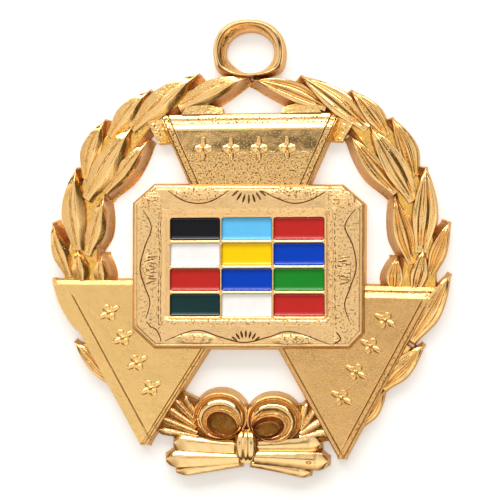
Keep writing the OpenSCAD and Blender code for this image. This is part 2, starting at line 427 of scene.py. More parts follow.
    def cleaned(self) -> None:
        """Take away tiny edges, and slivers that lie back to back after a join."""
        bmesh.ops.dissolve_degenerate(self.shape, dist=SPECK, edges=self.shape.edges[:])
        many_sided = [face for face in self.shape.faces if len(face.verts) > 4]
        bmesh.ops.triangulate(self.shape, faces=many_sided, ngon_method="EAR_CLIP")
        same_corners: dict[frozenset[bmesh.types.BMVert], list[bmesh.types.BMFace]] = {}
        for face in self.shape.faces:
            same_corners.setdefault(frozenset(face.verts), []).append(face)
        doubled = [face for faces in same_corners.values() if len(faces) > 1 for face in faces]
        bmesh.ops.delete(self.shape, geom=doubled, context="FACES")

    def crease_shade_mask(self) -> list[float]:
        """Give how deep in the creases each vertex lies, from 0 to 1, as the mask of their painted shade."""
        self.shape.normal_update()
        depths = []
        for vert in self.shape.verts:
            ways = [edge.other_vert(vert).co - vert.co for edge in vert.link_edges]
            reach = sum(way.length for way in ways)
            depths.append(ease(sum(way.dot(vert.normal) for way in ways) / reach, *CREASE_SHADE_RANGE))
        return depths

    def as_piece(
        self, name: str, finish: Finish, node: str = CASTING, punched: Paint | None = None,
        sunk: Paint | None = None,
    ) -> None:
        """Turn the form into a finished piece that stands for a node of the frame.

        Args:
            name: Name of the piece.
            finish: What its surface is like.
            node: The node that it replaces.
            punched: Gives how rough the surface is punched at a point, from 0 to 1.
            sunk: Gives how dark a point is painted as shade, from 0 to 1, such as how deep it lies in
            an engraved line. Without it, the creases of the form are taken.
        """
        self.cleaned()
        piece = self.as_object(name)
        mesh = piece.data
        layers = {
            "punched": [punched(vert.co) if punched else 0.0 for vert in mesh.vertices],
            # painted shade that darkens creases and engraved lines
            "painted_crease_shade": [sunk(vert.co) for vert in mesh.vertices] if sunk else self.crease_shade_mask(),
        }
        for layer, values in layers.items():
            mesh.attributes.new(layer, "FLOAT", "POINT").data.foreach_set("value", values)
        mesh.transform(Matrix.Scale(MM, 4))
        mesh.shade_smooth()
        mesh.set_sharp_from_angle(angle=math.radians(SHARP_FROM))
        mesh.materials.append(finish.material())
        bpy.context.scene.collection.objects.link(piece)
        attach(piece, BODY)
        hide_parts(node)
        LOG.info("%s: %d faces, %s", name, len(mesh.polygons), finish.slot)


class Value:
    """A shader socket that can be written into sums."""

    def __init__(self, tree: NodeTree, socket: bpy.types.NodeSocket) -> None:
        """Keep a socket and the tree that it belongs to."""
        self.tree = tree
        self.socket = socket

    def _math(self, operation: str, first: Number, second: Number = 0.0) -> Value:
        """Add one Math node."""
        return self.tree.node("ShaderNodeMath", {"operation": operation}, {0: first, 1: second})

    def __add__(self, other: Number) -> Value:
        """Add."""
        return self._math("ADD", self, other)

    def __radd__(self, other: Number) -> Value:
        """Add to a number."""
        return self._math("ADD", other, self)

    def __sub__(self, other: Number) -> Value:
        """Subtract."""
        return self._math("SUBTRACT", self, other)

    def __rsub__(self, other: Number) -> Value:
        """Subtract from a number."""
        return self._math("SUBTRACT", other, self)

    def __mul__(self, other: Number) -> Value:
        """Multiply."""
        return self._math("MULTIPLY", self, other)

    def __rmul__(self, other: Number) -> Value:
        """Multiply a number."""
        return self._math("MULTIPLY", other, self)

    def over(self, other: Number) -> Value:
        """Give the larger of this and another value."""
        return self._math("MAXIMUM", self, other)

    def ramp(self, start: float, end: float) -> Value:
        """Ease from 0 to 1 as the value goes from start to end."""
        settings = {"interpolation_type": "SMOOTHSTEP"}
        inputs = {"Value": self, "From Min": start, "From Max": end, "To Min": 0.0, "To Max": 1.0}
        return self.tree.node("ShaderNodeMapRange", settings, inputs, "Result")


Number = float | Value


class NodeTree:
    """A material or world node tree under construction."""

    def __init__(self, tree: bpy.types.NodeTree) -> None:
        """Start from an empty tree."""
        self.tree = tree
        tree.nodes.clear()

    def node(self, kind: str, settings: dict, inputs: dict, output: str | int = 0) -> Value:
        """Add a node.

        Args:
            kind: The node's type.
            settings: Its properties, which are set first.
            inputs: Values or links by the name, identifier or number of the socket.
            output: Name or number of the socket that is wanted.

        Returns:
            The output socket.
        """
        made = self.tree.nodes.new(kind)
        for name, setting in settings.items():
            setattr(made, name, setting)
        for key, value in inputs.items():
            socket = self._socket(made.inputs, key)
            if isinstance(value, Value):
                self.tree.links.new(value.socket, socket)
            else:
                socket.default_value = (*value, 1.0) if socket.type == "RGBA" else value
        return Value(self, self._socket(made.outputs, output))

    @staticmethod
    def _socket(sockets: bpy.types.bpy_prop_collection, key: str | int) -> bpy.types.NodeSocket:
        """Find a socket by number, identifier or name."""
        if isinstance(key, int):
            return sockets[key]
        return next(s for s in sockets if key in (s.identifier, s.name) and s.enabled)

    def blend(self, share: Number, first: Colour | Value, second: Colour | Value) -> Value:
        """Mix two colours."""
        inputs = {"Factor_Float": share, "A_Color": first, "B_Color": second}
        return self.node("ShaderNodeMix", {"data_type": "RGBA"}, inputs, "Result_Color")

    def place(self) -> Value:
        """Give the place on the piece."""
        return self.node("ShaderNodeTexCoord", {}, {}, "Object")

    def surface(self, inputs: dict) -> None:
        """Add the shader of a surface and join it to the material's output."""
        shader = self.node("ShaderNodeBsdfPrincipled", {}, inputs, "BSDF")
        output = self.tree.nodes.new("ShaderNodeOutputMaterial")
        self.tree.links.new(shader.socket, output.inputs["Surface"])

    def bump(self, height: Value) -> Value:
        """Turn a height in millimetres into a normal."""
        inputs = {"Height": height, "Distance": MM, "Strength": 1.0}
        return self.node("ShaderNodeBump", {}, inputs, "Normal")

    def upright(self) -> Value:
        """Give how far the surface faces up or down rather than sideways."""
        facing = self.node("ShaderNodeNewGeometry", {}, {}, "Normal")
        part = self.node("ShaderNodeSeparateXYZ", {}, {"Vector": facing}, "Z")
        return self.node("ShaderNodeMath", {"operation": "ABSOLUTE"}, {0: part})

    def painted(self, name: str) -> Value:
        """Read a painted layer of the mesh."""
        settings = {"attribute_type": "GEOMETRY", "attribute_name": name}
        return self.node("ShaderNodeAttribute", settings, {}, "Fac")

    def grain(self, vector: Value, size: float, detail: float = 2.0) -> Value:
        """Give noise with lumps of a size in millimetres."""
        inputs = {"Vector": vector, "Scale": 1 / (size * MM), "Detail": detail, "Roughness": 0.6}
        return self.node("ShaderNodeTexNoise", {}, inputs, "Fac")


@dataclass(frozen=True)
class Finish:
    """What a surface is like."""

    label: str
    slot: str

    def material(self) -> bpy.types.Material:
        """Give the material of this finish, built once."""
        made = bpy.data.materials.get(self.label)
        if made is None:
            made = bpy.data.materials.new(self.label)
            made.use_nodes = True
            self.build(NodeTree(made.node_tree))
        return made

    def build(self, tree: NodeTree) -> None:
        """Add the nodes of the finish to an empty tree."""
        raise NotImplementedError


@dataclass(frozen=True)
class GoldFinish(Finish):
    """Plated casting: polished faces, steep walls painted browner as shade, deep places painted in a colour
    for their bounced light and shade, and a fine grain.
    """

    slot: str = "gold"
    face: Colour = (0.95, 0.61, 0.25)
    edge: Colour = (1.0, 0.85, 0.55)
    recess_light_and_shade: Colour = (1.0, 0.57, 0.12)
    wall: Colour = (0.68, 0.42, 0.22)
    bottom_from: float = 1.95
    bottom_to: float = 1.5
    wall_from: float = 0.65
    wall_to: float = 0.3
    low_wall: float = 0.32
    rough: float = 0.16
    rough_range: float = 0.08
    cloud_size: float = 4.0
    cloud_edge: Point = (0.3, 0.7)
    bottom_rough: float = 0.22
    wall_rough: float = 0.36
    grain_size: float = 0.24
    grain_depth: float = 0.008
    bottom_depth: float = 0.05
    streak_size: float = 0.3
    streak_depth: float = 0.1
    punch_size: float = 0.3
    punch_depth: float = 0.09
    punch_rough: float = 0.36
    pits: float = 0.0
    holes_from: Point = (0.56, 0.7)
    pit_shade: float = 0.6
    pit_shade_colour: Colour = (0.42, 0.2, 0.07)
    # painted shade laid into creases and engraved lines: its colour and its strength
    crease_shade_colour: Colour = (0.12, 0.045, 0.012)
    crease_shade_strength: float = 0.85

    def build(self, tree: NodeTree) -> None:
        """Add the nodes of the gold."""
        vector = tree.place()
        z = tree.node("ShaderNodeSeparateXYZ", {}, {"Vector": vector}, "Z") * (1 / MM)
        fine = tree.grain(vector, self.grain_size, 3.0)
        broad = tree.grain(vector, self.cloud_size, 2.0)
        # deep places are painted in their own colour for the bounced light and shade that they get
        deep = z.ramp(self.bottom_from, self.bottom_to)
        # steep walls are painted browner, as the shade they show
        wall = (tree.upright() - deep * self.low_wall).ramp(self.wall_from, self.wall_to)
        colour = tree.blend(wall, tree.blend(deep, self.face, self.recess_light_and_shade), self.wall)
        level = tree.node("ShaderNodeVectorMath", {"operation": "MULTIPLY"}, {0: vector, 1: (1.0, 1.0, 0.1)})
        streaks = tree.grain(level, self.streak_size, 1.0)
        height = fine * self.grain_depth + fine * (deep * self.bottom_depth)
        height = height + streaks * (wall * self.streak_depth)
        punched = tree.painted("punched")
        spots = tree.grain(vector, self.punch_size, 1.5)
        holes = (punched + self.pits) * spots.ramp(*self.holes_from)
        height = height + punched * spots * self.punch_depth * 0.5 - holes * self.punch_depth
        # the punched pits are darkened with painted shade
        colour = tree.blend(holes * self.pit_shade, colour, self.pit_shade_colour)
        # painted shade in the creases and engraved lines
        colour = tree.blend(tree.painted("painted_crease_shade") * self.crease_shade_strength, colour, self.crease_shade_colour)
        rough = broad.ramp(*self.cloud_edge) * self.rough_range + self.rough
        rough = rough.over(deep * self.bottom_rough).over(wall * self.wall_rough)
        tree.surface({
            "Base Color": colour, "Metallic": 1.0, "Roughness": rough.over(punched * self.punch_rough),
            "Specular Tint": self.edge, "Normal": tree.bump(height),
        })


@dataclass(frozen=True)
class EnamelFinish(Finish):
    """Hard glossy enamel of one colour."""

    colour: Colour = (0.8, 0.8, 0.8)
    shade: float = 0.96
    cloud_size: float = 1.6
    cloud_edge: Point = (0.35, 0.75)
    cloud_depth: float = 0.003
    rough: float = 0.2
    shine: float = 0.03
    glaze_rough: float = 0.05

    def build(self, tree: NodeTree) -> None:
        """Add the nodes of the enamel."""
        cloud = tree.grain(tree.place(), self.cloud_size, 2.0)
        darker = tuple(self.shade * part for part in self.colour)
        tree.surface({
            "Base Color": tree.blend(cloud.ramp(*self.cloud_edge), self.colour, darker),
            "Roughness": self.rough, "Specular IOR Level": self.shine, "Coat Weight": 1.0,
            "Coat Roughness": self.glaze_rough, "Normal": tree.bump(cloud * self.cloud_depth),
        })


WREATH_GOLD = GoldFinish("wreath_gold", rough=0.1, pits=0.12, crease_shade_strength=0.4, crease_shade_colour=(0.12, 0.06, 0.006))
LOOP_GOLD = GoldFinish(
    "loop_gold", face=(0.92, 0.63, 0.3), rough=0.07, bottom_from=1.2, bottom_to=0.6, crease_shade_strength=1.0,
    crease_shade_colour=(0.025, 0.012, 0.003),
)
# the bow's deep places are painted dark brown as shade
BOW_GOLD = GoldFinish(
    "bow_gold", face=(0.95, 0.64, 0.3), recess_light_and_shade=(0.27, 0.115, 0.02), rough=0.12,
    crease_shade_colour=(0.06, 0.022, 0.003),
)
# the right plate's gold is painted darker, as the shade that falls on it
SHADED_PLATE_GOLD = GoldFinish(
    "plate_gold", face=(0.87, 0.52, 0.2), rough=0.2, grain_depth=0.03, pits=0.15, crease_shade_strength=0.7,
)
# the left plate takes the same gold without the painted shade
LEFT_PLATE_GOLD = replace(SHADED_PLATE_GOLD, label="left_plate_gold", face=(0.99, 0.635, 0.245), pits=0.1)
TOP_PLATE_GOLD = GoldFinish(
    "top_plate_gold", rough=0.1, rough_range=0.05, pits=0.03, punch_size=0.36, punch_depth=0.2,
    punch_rough=0.2,
)
BREASTPLATE_GOLD = GoldFinish(
    "breastplate_gold", face=(1.0, 0.665, 0.315), rough=0.3, grain_depth=0.02, punch_size=0.33,
    punch_depth=0.3, punch_rough=0.15, pits=0.12, holes_from=(0.59, 0.68), crease_shade_strength=0.92,
)
ENAMEL_COLOURS = {
    "black": (0.0108, 0.0104, 0.015), "sky": (0.135, 0.58, 1.0), "red": (0.56, 0.025, 0.02),
    "white": (0.98, 0.99, 1.0), "yellow": (0.98, 0.68, 0.002), "blue": (0.001, 0.055, 0.56),
    "green": (0.013, 0.265, 0.023), "teal": (0.01, 0.04, 0.042),
}


@dataclass(frozen=True)
class Leaf:
    """A laurel leaf: a bowed, ridged lens with steep walls and a facet at its tip."""

    foot_x: float
    foot_y: float
    tip_x: float
    tip_y: float
    half_width: float
    bow: float
    crest: float
    ridge: float = 0.2
    left_fall: float = 0.16
    right_fall: float = 0.3
    ridge_blunt: Point = (0.012, 0.11)
    valleys: Row = ()
    valley_depth: float = 0.4
    valley_width: float = 0.21
    grooves: Row = ()
    groove_depth: float = 0.09
    groove_width: float = 0.032
    widest: float = 0.42
    foot_share: float = 0.5
    tip_share: float = 0.04
    foot_rise: float = 0.74
    tip_from: float = 0.8
    tip_fall: float = 0.3
    spreads: Point = (0.45, 0.45)
    steps: tuple[int, int] = (44, 60)

    def middle(self, u: float) -> Vector:
        """Give the point of the middle line at a way from foot to tip."""
        foot = Vector((self.foot_x, self.foot_y))
        way = Vector((self.tip_x, self.tip_y)) - foot
        return foot + way * u + left_of(way) * self.bow * 4 * u * (1 - u)

    def half(self, u: float) -> float:
        """Give the half width at a way along."""
        taper = 1 - max(0.0, (u - self.widest) / (1 - self.widest)) ** 1.7
        swell = self.foot_share + (1 - self.foot_share) * ease(u, 0.0, self.widest)
        return self.half_width * max(self.tip_share, swell * taper)

    def roof(self, v: float) -> float:
        """Give how far a cross section falls away from its crest."""
        aside = v - self.ridge
        reach = 1 - math.copysign(self.ridge, aside)
        soft, back = self.ridge_blunt
        share = max(0.0, math.sqrt((aside / reach) ** 2 + soft) - back)
        return (self.right_fall if aside > 0 else self.left_fall) * share ** 1.15

    def height(self, u: float, v: float) -> float:
        """Give the height of the face.

        Args:
            u: Way from foot to tip, from 0 to 1.
            v: Way across, from -1 at the left to 1 at the right seen from the foot.

        Returns:
            The height over the jewel's back.
        """
        rise = mix(self.foot_rise, 1.0, ease(u, 0.0, 0.55))
        rise -= self.tip_fall * max(0.0, (u - self.tip_from) / (1 - self.tip_from)) ** 1.3
        sunk = sum(bell(v - at - 0.02 * math.sin(8 * u + 9 * at), self.valley_width) for at in self.valleys)
        sunk *= ease(u, 0.0, 0.16) * ease(u, 0.97, 0.67) * self.valley_depth
        lines = sum(bell(v - at - 0.03 * math.sin(9 * u + 7 * at), self.groove_width) for at in self.grooves)
        lines *= ease(u, 0.0, 0.1) * ease(u, 0.84, 0.64) * self.groove_depth
        at = self.middle(u)
        waves = 0.05 * ripple(at.x + v, at.y, 1.6) + 0.012 * ripple(at.x, at.y + 2 * v, 0.5)
        return self.crest * rise * (1 - self.roof(v)) - sunk - lines + waves

    def form(self, base: float) -> Form:
        """Build the leaf with its wall down to a base height."""
        way = Vector((self.tip_x - self.foot_x, self.tip_y - self.foot_y)).normalized()

        def place(u: float, v: float, level: float) -> Vector:
            """Give a point of the leaf's face or wall."""
            out = (1 - level) ** 2.2
            side = self.half(u) + (self.spreads[v > 0] * out if rim_side(v) else 0.0)
            point = self.middle(u) - left_of(way) * side * v
            point += way * min(self.spreads) * out * rim_side(2 * u - 1)
            return Vector((point.x, point.y, mix(base, self.height(u, v), level)))
        return Form.relief(place, *self.steps, (0.88, 0.45, 0.14, 0.0))


@dataclass(frozen=True)
class Flute(Leaf):
    """A fluted strip of ribbon: a rounded roof along its whole length."""

    ridge: float = 0.15
    left_fall: float = 0.2
    right_fall: float = 0.2
    near: float = 0.8
    blunt: float = 0.25
    end_from: float = 0.84
    end_fall: float = 0.12
    steps: tuple[int, int] = (40, 30)

    def roof(self, v: float) -> float:
        """Give how far the round cross section falls away from its crest."""
        aside = v - self.ridge
        share = abs(aside) / (1 - math.copysign(self.ridge, aside))
        return (self.right_fall if aside > 0 else self.left_fall) * share ** 1.7

    def half(self, u: float) -> float:
        """Give the half width, which grows from the knot and closes at the free end."""
        past = max(0.0, (u - self.end_from) / (1 - self.end_from))
        end = max(self.blunt, math.sqrt(max(0.0, 1 - past ** 2)))
        return self.half_width * end * mix(self.near, 1.0, u)

    def height(self, u: float, v: float) -> float:
        """Give the height of the roof."""
        at = self.middle(u)
        fall = (1 - self.roof(v)) * (1 - self.end_fall * ease(u, self.tip_from, 1.0))
        return self.crest * fall + 0.03 * ripple(at.x + v, at.y, 1.2)


@dataclass(frozen=True)
class Patch:
    """A low four-cornered patch of lumpy cast metal."""

    corners: Sequence[Point]
    tops: tuple[float, float, float, float] = (1.9, 1.9, 1.9, 1.9)
    base: float = 0.15
    draft: float = 0.06
    lumps: Sequence[Point] = ((0.18, 1.3), (0.05, 0.45))
    steps: int = 64

    def form(self) -> Form:
        """Build the patch; its top is drawn in a little from its corners."""
        a, b, c, d = flat(self.corners)
        middle = (a + b + c + d) / 4

        def place(u: float, v: float, level: float) -> Vector:
            """Give a point of the patch's top or wall."""
            at = a.lerp(b, u).lerp(d.lerp(c, u), (v + 1) / 2)
            at = at.lerp(middle, self.draft * level)
            near_left, near_right, far_right, far_left = self.tops
            top = mix(mix(near_left, near_right, u), mix(far_left, far_right, u), (v + 1) / 2)
            top += sum(tall * ripple(at.x, at.y, wide, wide) for tall, wide in self.lumps)
            return Vector((at.x, at.y, mix(self.base, top, level)))
        return Form.relief(place, self.steps, self.steps, (0.5, 0.0))


SMOOTH = ((0.04, 0.8), (0.02, 0.3))
STRIATED = ((0.1, 0.45), (0.1, 1.2))


class LeafStyle(Enum):
    """How the leaves of a branch are cut."""

    RIDGED = "one ridge with fine lines beside it"
    SUNK = "a sunk middle between two ridges"


@dataclass(frozen=True)
class Branch:
    """One side of the wreath: leaves on a web that holds them together."""

    name: str
    style: LeafStyle
    leaves: Sequence[Row]
    web: Sequence[Row]
    inner_side: int
    smooth_from: int = 99
    base: float = 0.15
    web_height: float = 1.6
    outer_draft: float = 0.4
    inner_draft: float = 1.15

    def leaf(self, row: Row, chance: random.Random) -> Leaf:
        """Cut one leaf in the style of the branch.

        Args:
            row: Foot, tip, half width, bow and crest of the leaf.
            chance: What makes each leaf a little different.

        Returns:
            The leaf.
        """
        spreads = (self.outer_draft, self.inner_draft)[::self.inner_side]
        if row in self.leaves[self.smooth_from:]:
            return Leaf(
                *row, ridge=0.0, left_fall=0.1, right_fall=0.12, valleys=(chance.uniform(0.1, 0.3),),
                valley_depth=0.26, valley_width=0.13, grooves=(-0.6, -0.35, 0.6), tip_fall=0.12,
                spreads=(self.outer_draft, self.outer_draft),
            )
        if self.style is LeafStyle.RIDGED:
            middle = chance.uniform(-0.25, -0.1)
            return Leaf(
                *row, ridge=chance.uniform(0.25, 0.42), left_fall=chance.uniform(0.12, 0.18),
                right_fall=chance.uniform(0.26, 0.32), grooves=(middle, middle - 0.15), spreads=spreads,
            )
        return Leaf(
            *row, ridge=chance.uniform(-0.2, 0.2), left_fall=chance.uniform(0.05, 0.16),
            right_fall=chance.uniform(0.08, 0.24),
            valleys=(chance.uniform(-0.5, -0.28), chance.uniform(0.3, 0.55)),
            valley_depth=chance.uniform(0.24, 0.46), valley_width=chance.uniform(0.16, 0.26),
            spreads=spreads,
        )

    def web_form(self) -> Form:
        """Build the web: a band with drafted walls and a lumpy face."""
        count = len(self.web) * 10
        inner, outer = (self.inner_draft, self.outer_draft)[::self.inner_side]

        def place(u: float, v: float, level: float) -> Vector:
            """Give a point of the band's face or wall."""
            x, y, half = spline(self.web, u)
            behind, ahead = (Vector(spline(self.web, u + near)[:2]) for near in (-0.01, 0.01))
            side = left_of(ahead - behind)
            across = mix(outer * level - half, half - inner * level, (v + 1) / 2)
            point = Vector((x, y)) + side * across
            top = self.web_height + 0.22 * ripple(x + across, y, 1.0) + 0.1 * ripple(x, y + across, 0.45)
            return Vector((point.x, point.y, mix(self.base, top, level)))
        return Form.relief(place, count, 40, (0.66, 0.33, 0.0))

    def form(self) -> Form:
        """Build the leaves and fuse them to the web."""
        chance = random.Random(SEED + len(self.leaves))
        forms = [self.leaf(row, chance).form(self.base) for row in self.leaves]
        return self.web_form().combine(forms, Join.FUSE)


@dataclass(frozen=True)
class Wreath:
    """Two laurel branches, joined to the top plate by low metal round a gap."""

    fillers: Sequence[Sequence[Patch]] = (
        (
            Patch(
                ((-12.0, 22.4), (-4.6, 22.4), (-4.8, 23.5), (-10.5, 25.0)), (2.1, 1.9, 1.6, 1.8),
                lumps=SMOOTH,
            ),
            Patch(
                ((-15.8, 17.5), (-13.1, 17.7), (-14.2, 22.4), (-17.5, 21.0)), (1.9, 1.0, 1.6, 2.4),
                lumps=STRIATED,
            ),
            Patch(((-29.2, -16.4), (-27.0, -15.4), (-22.0, -24.0), (-24.4, -22.4)), (1.7, 1.9, 1.9, 1.7)),
        ),
        (
            Patch(
                ((4.8, 22.4), (12.0, 22.4), (10.5, 25.0), (5.2, 23.5)), (1.9, 2.1, 1.8, 1.6),
                lumps=SMOOTH,
            ),
            Patch(
                ((12.6, 17.7), (15.3, 17.5), (17.5, 21.0), (14.2, 22.4)), (1.0, 1.9, 2.4, 1.6),
                lumps=STRIATED,
            ),
            Patch(((25.2, -15.6), (26.6, -16.4), (22.2, -22.2), (20.2, -24.2)), (1.9, 1.7, 1.7, 1.9)),
        ),
    )

    def dress(self) -> None:
        """Build both branches."""
        for branch, fillers in zip((LEFT_BRANCH, RIGHT_BRANCH), self.fillers):
            form = branch.form().combine([patch.form() for patch in fillers], Join.FUSE)
            form.combine([HangingLoop().clearance()], Join.CUT).as_piece(branch.name, WREATH_GOLD)


@dataclass(frozen=True)
class HangingLoop:
    """The loop that the collar's clip goes through, squared where it meets the leaves."""

    centre: Point = (-0.3, 32.8)
    outer: Point = (6.15, 5.75)
    foot_outer: Point = (6.1, 4.2)
    foot_square: float = 3.4
    bore: Point = (4.05, 3.5)
    bore_centre: Point = (0.05, 0.15)
    crest: float = 2.9
    foot_crest: float = 2.5
    pushed: Row = (222.0, 0.4, 0.07)
    bulge: Row = (140.0, 0.6, 0.07)
    profile: Sequence[Point] = (
        (0.0, 0.0), (0.01, 0.22), (0.04, 0.42), (0.1, 0.6), (0.13, 0.72), (0.2, 0.88), (0.3, 0.98),
        (0.38, 1.0), (0.48, 0.95), (0.58, 0.82), (0.7, 0.68), (0.85, 0.54), (0.95, 0.42),
        (1.0, 0.28), (1.0, 0.12), (1.0, 0.0),
    )
    # painted shade lines on the slope: angle round the loop in degrees, its width, distance from the middle,
    # its width
    shade_lines: Sequence[Row] = (
        (186.0, 24.0, 4.9, 0.17), (15.0, 12.0, 5.3, 0.2), (62.0, 30.0, 4.5, 0.1),
    )
    rough_within: Point = (4.9, 4.4)
    roughness: float = 0.8
    sides: int = 60
    around: int = 180

    def clearance(self) -> Form:
        """Build the room that the bore takes."""
        turns = [math.tau * i / self.around for i in range(self.around)]
        return Form.prism([Vector(self.centre) + self.inner(turn) for turn in turns], -1.0, 5.0)

    @staticmethod
    def swell(angle: float, row: Row) -> float:
        """Give how far an outline swells at an angle.

        Args:
            angle: The angle in radians.
            row: Middle of the swelling in degrees, its half width in radians, its size.

        Returns:
            The share of the outline's reach.
        """
        middle, width, size = row
        return size * bell(math.remainder(angle - math.radians(middle), math.tau), width)

    def inner(self, angle: float) -> Vector:
        """Give the edge of the bore at an angle, pushed in at its lower left."""
        held = 1 - self.swell(angle, self.pushed)
        return Vector(self.bore_centre) + self.reach(self.bore, 2.0, angle) * held

    @staticmethod
    def reach(radii: Point, square: float, angle: float) -> Vector:
        """Give a point of a rounded outline, an ellipse where the square is 2."""
        across, up = math.cos(angle), math.sin(angle)
        size = (abs(across / radii[0]) ** square + abs(up / radii[1]) ** square) ** (-1 / square)
        return Vector((across, up)) * size

    def dress(self) -> None:
        """Build the loop: a crest near its outer edge and a long slope to the bore."""
        def place(turn: float, share: float) -> Vector:
            """Give a point of the loop's skin."""
            across, up = spline(self.profile, share)
            angle = math.tau * turn
            lower = ease(-math.sin(angle), 0.0, 0.35)
            round_out = self.reach(self.outer, 2.15, angle)
            outer = round_out.lerp(self.reach(self.foot_outer, self.foot_square, angle), lower)
            outer *= 1 + self.swell(angle, self.bulge)
            outer *= 1 + 0.012 * ripple(outer.x, outer.y, 2.0)
            point = outer.lerp(self.inner(angle), across)
            top = mix(self.crest, self.foot_crest, ease(-math.sin(angle), 0.1, 0.9))
            rough = 0.05 * ripple(point.x, point.y, 0.4) * ease(across, 0.45, 0.65)
            height = max(0.0, top * up + (rough if up > 0.2 else 0.0))
            return Vector((self.centre[0] + point.x, self.centre[1] + point.y, height))
        ring = Form.ring(place, self.around, self.sides)
        # the slope toward the bore takes painted shade lines in place of the shade of its creases
        ring.as_piece("suspension_loop", LOOP_GOLD, punched=self.punched, sunk=self.shaded)

    def shaded(self, point: Vector) -> float:
        """Tell how dark the painted shade lines on the slope toward the bore are at a point."""
        way = point.xy - Vector(self.centre)
        turn = math.degrees(math.atan2(way.y, way.x)) % 360
        return max(
            bell(turn - at, wide) * bell(way.length - away, width)
            for at, wide, away, width in self.shade_lines
        )

    def punched(self, point: Vector) -> float:
        """Tell how rough the cast slope toward the bore is at a point."""
        away = (point.xy - Vector(self.centre)).length
        return self.roughness * ease(away, *self.rough_within)


@dataclass(frozen=True)
class Rosette:
    """A raised flower of four petals round a boss."""

    long: float = 4.0
    wide: float = 2.9
    rise: float = 0.45
    waist: float = 0.22
    boss_width: float = 0.3
    boss_rise: float = 0.95
    petal_rise: float = 0.78
    least_rise: float = 0.25
    sunk: float = 0.4
    rings: int = 12
    around: int = 64

    def form(self, middle: Vector, turn: float, field: float) -> Form:
        """Build the rosette.

        Args:
            middle: Where it stands.
            turn: How far it is turned, in degrees.
            field: Height of the face that it stands on.

        Returns:
            The closed form, which reaches a little into the face.
        """
        spin = Matrix.Rotation(math.radians(turn), 2)

        def place(step: int, ring: int) -> Vector:
            """Give a point of the rosette; the first two rings are its wall."""
            angle = math.tau * step / self.around
            lobe = math.cos(4 * angle)
            share = max(0, ring - 2) / (self.rings - 3)
            inward = 1 - 0.94 * share
            at = Vector((self.wide / 2 * math.cos(angle), self.long / 2 * math.sin(angle)))
            at = middle + spin @ (at * (1 - self.waist + self.waist * lobe) * inward)
            petal = math.sqrt(max(0.0, 1 - (2 * share - 0.75) ** 2 * 0.8))
            petal *= mix(self.petal_rise, 1.0, lobe)
            boss = bell(inward, self.boss_width)
            top = self.rise * (max(petal * (1 - boss), self.least_rise) + self.boss_rise * boss)
            return Vector((at.x, at.y, field + (-self.sunk, 0.0, top)[min(ring, 2)]))
        return Form.tube(place, self.around, self.rings)


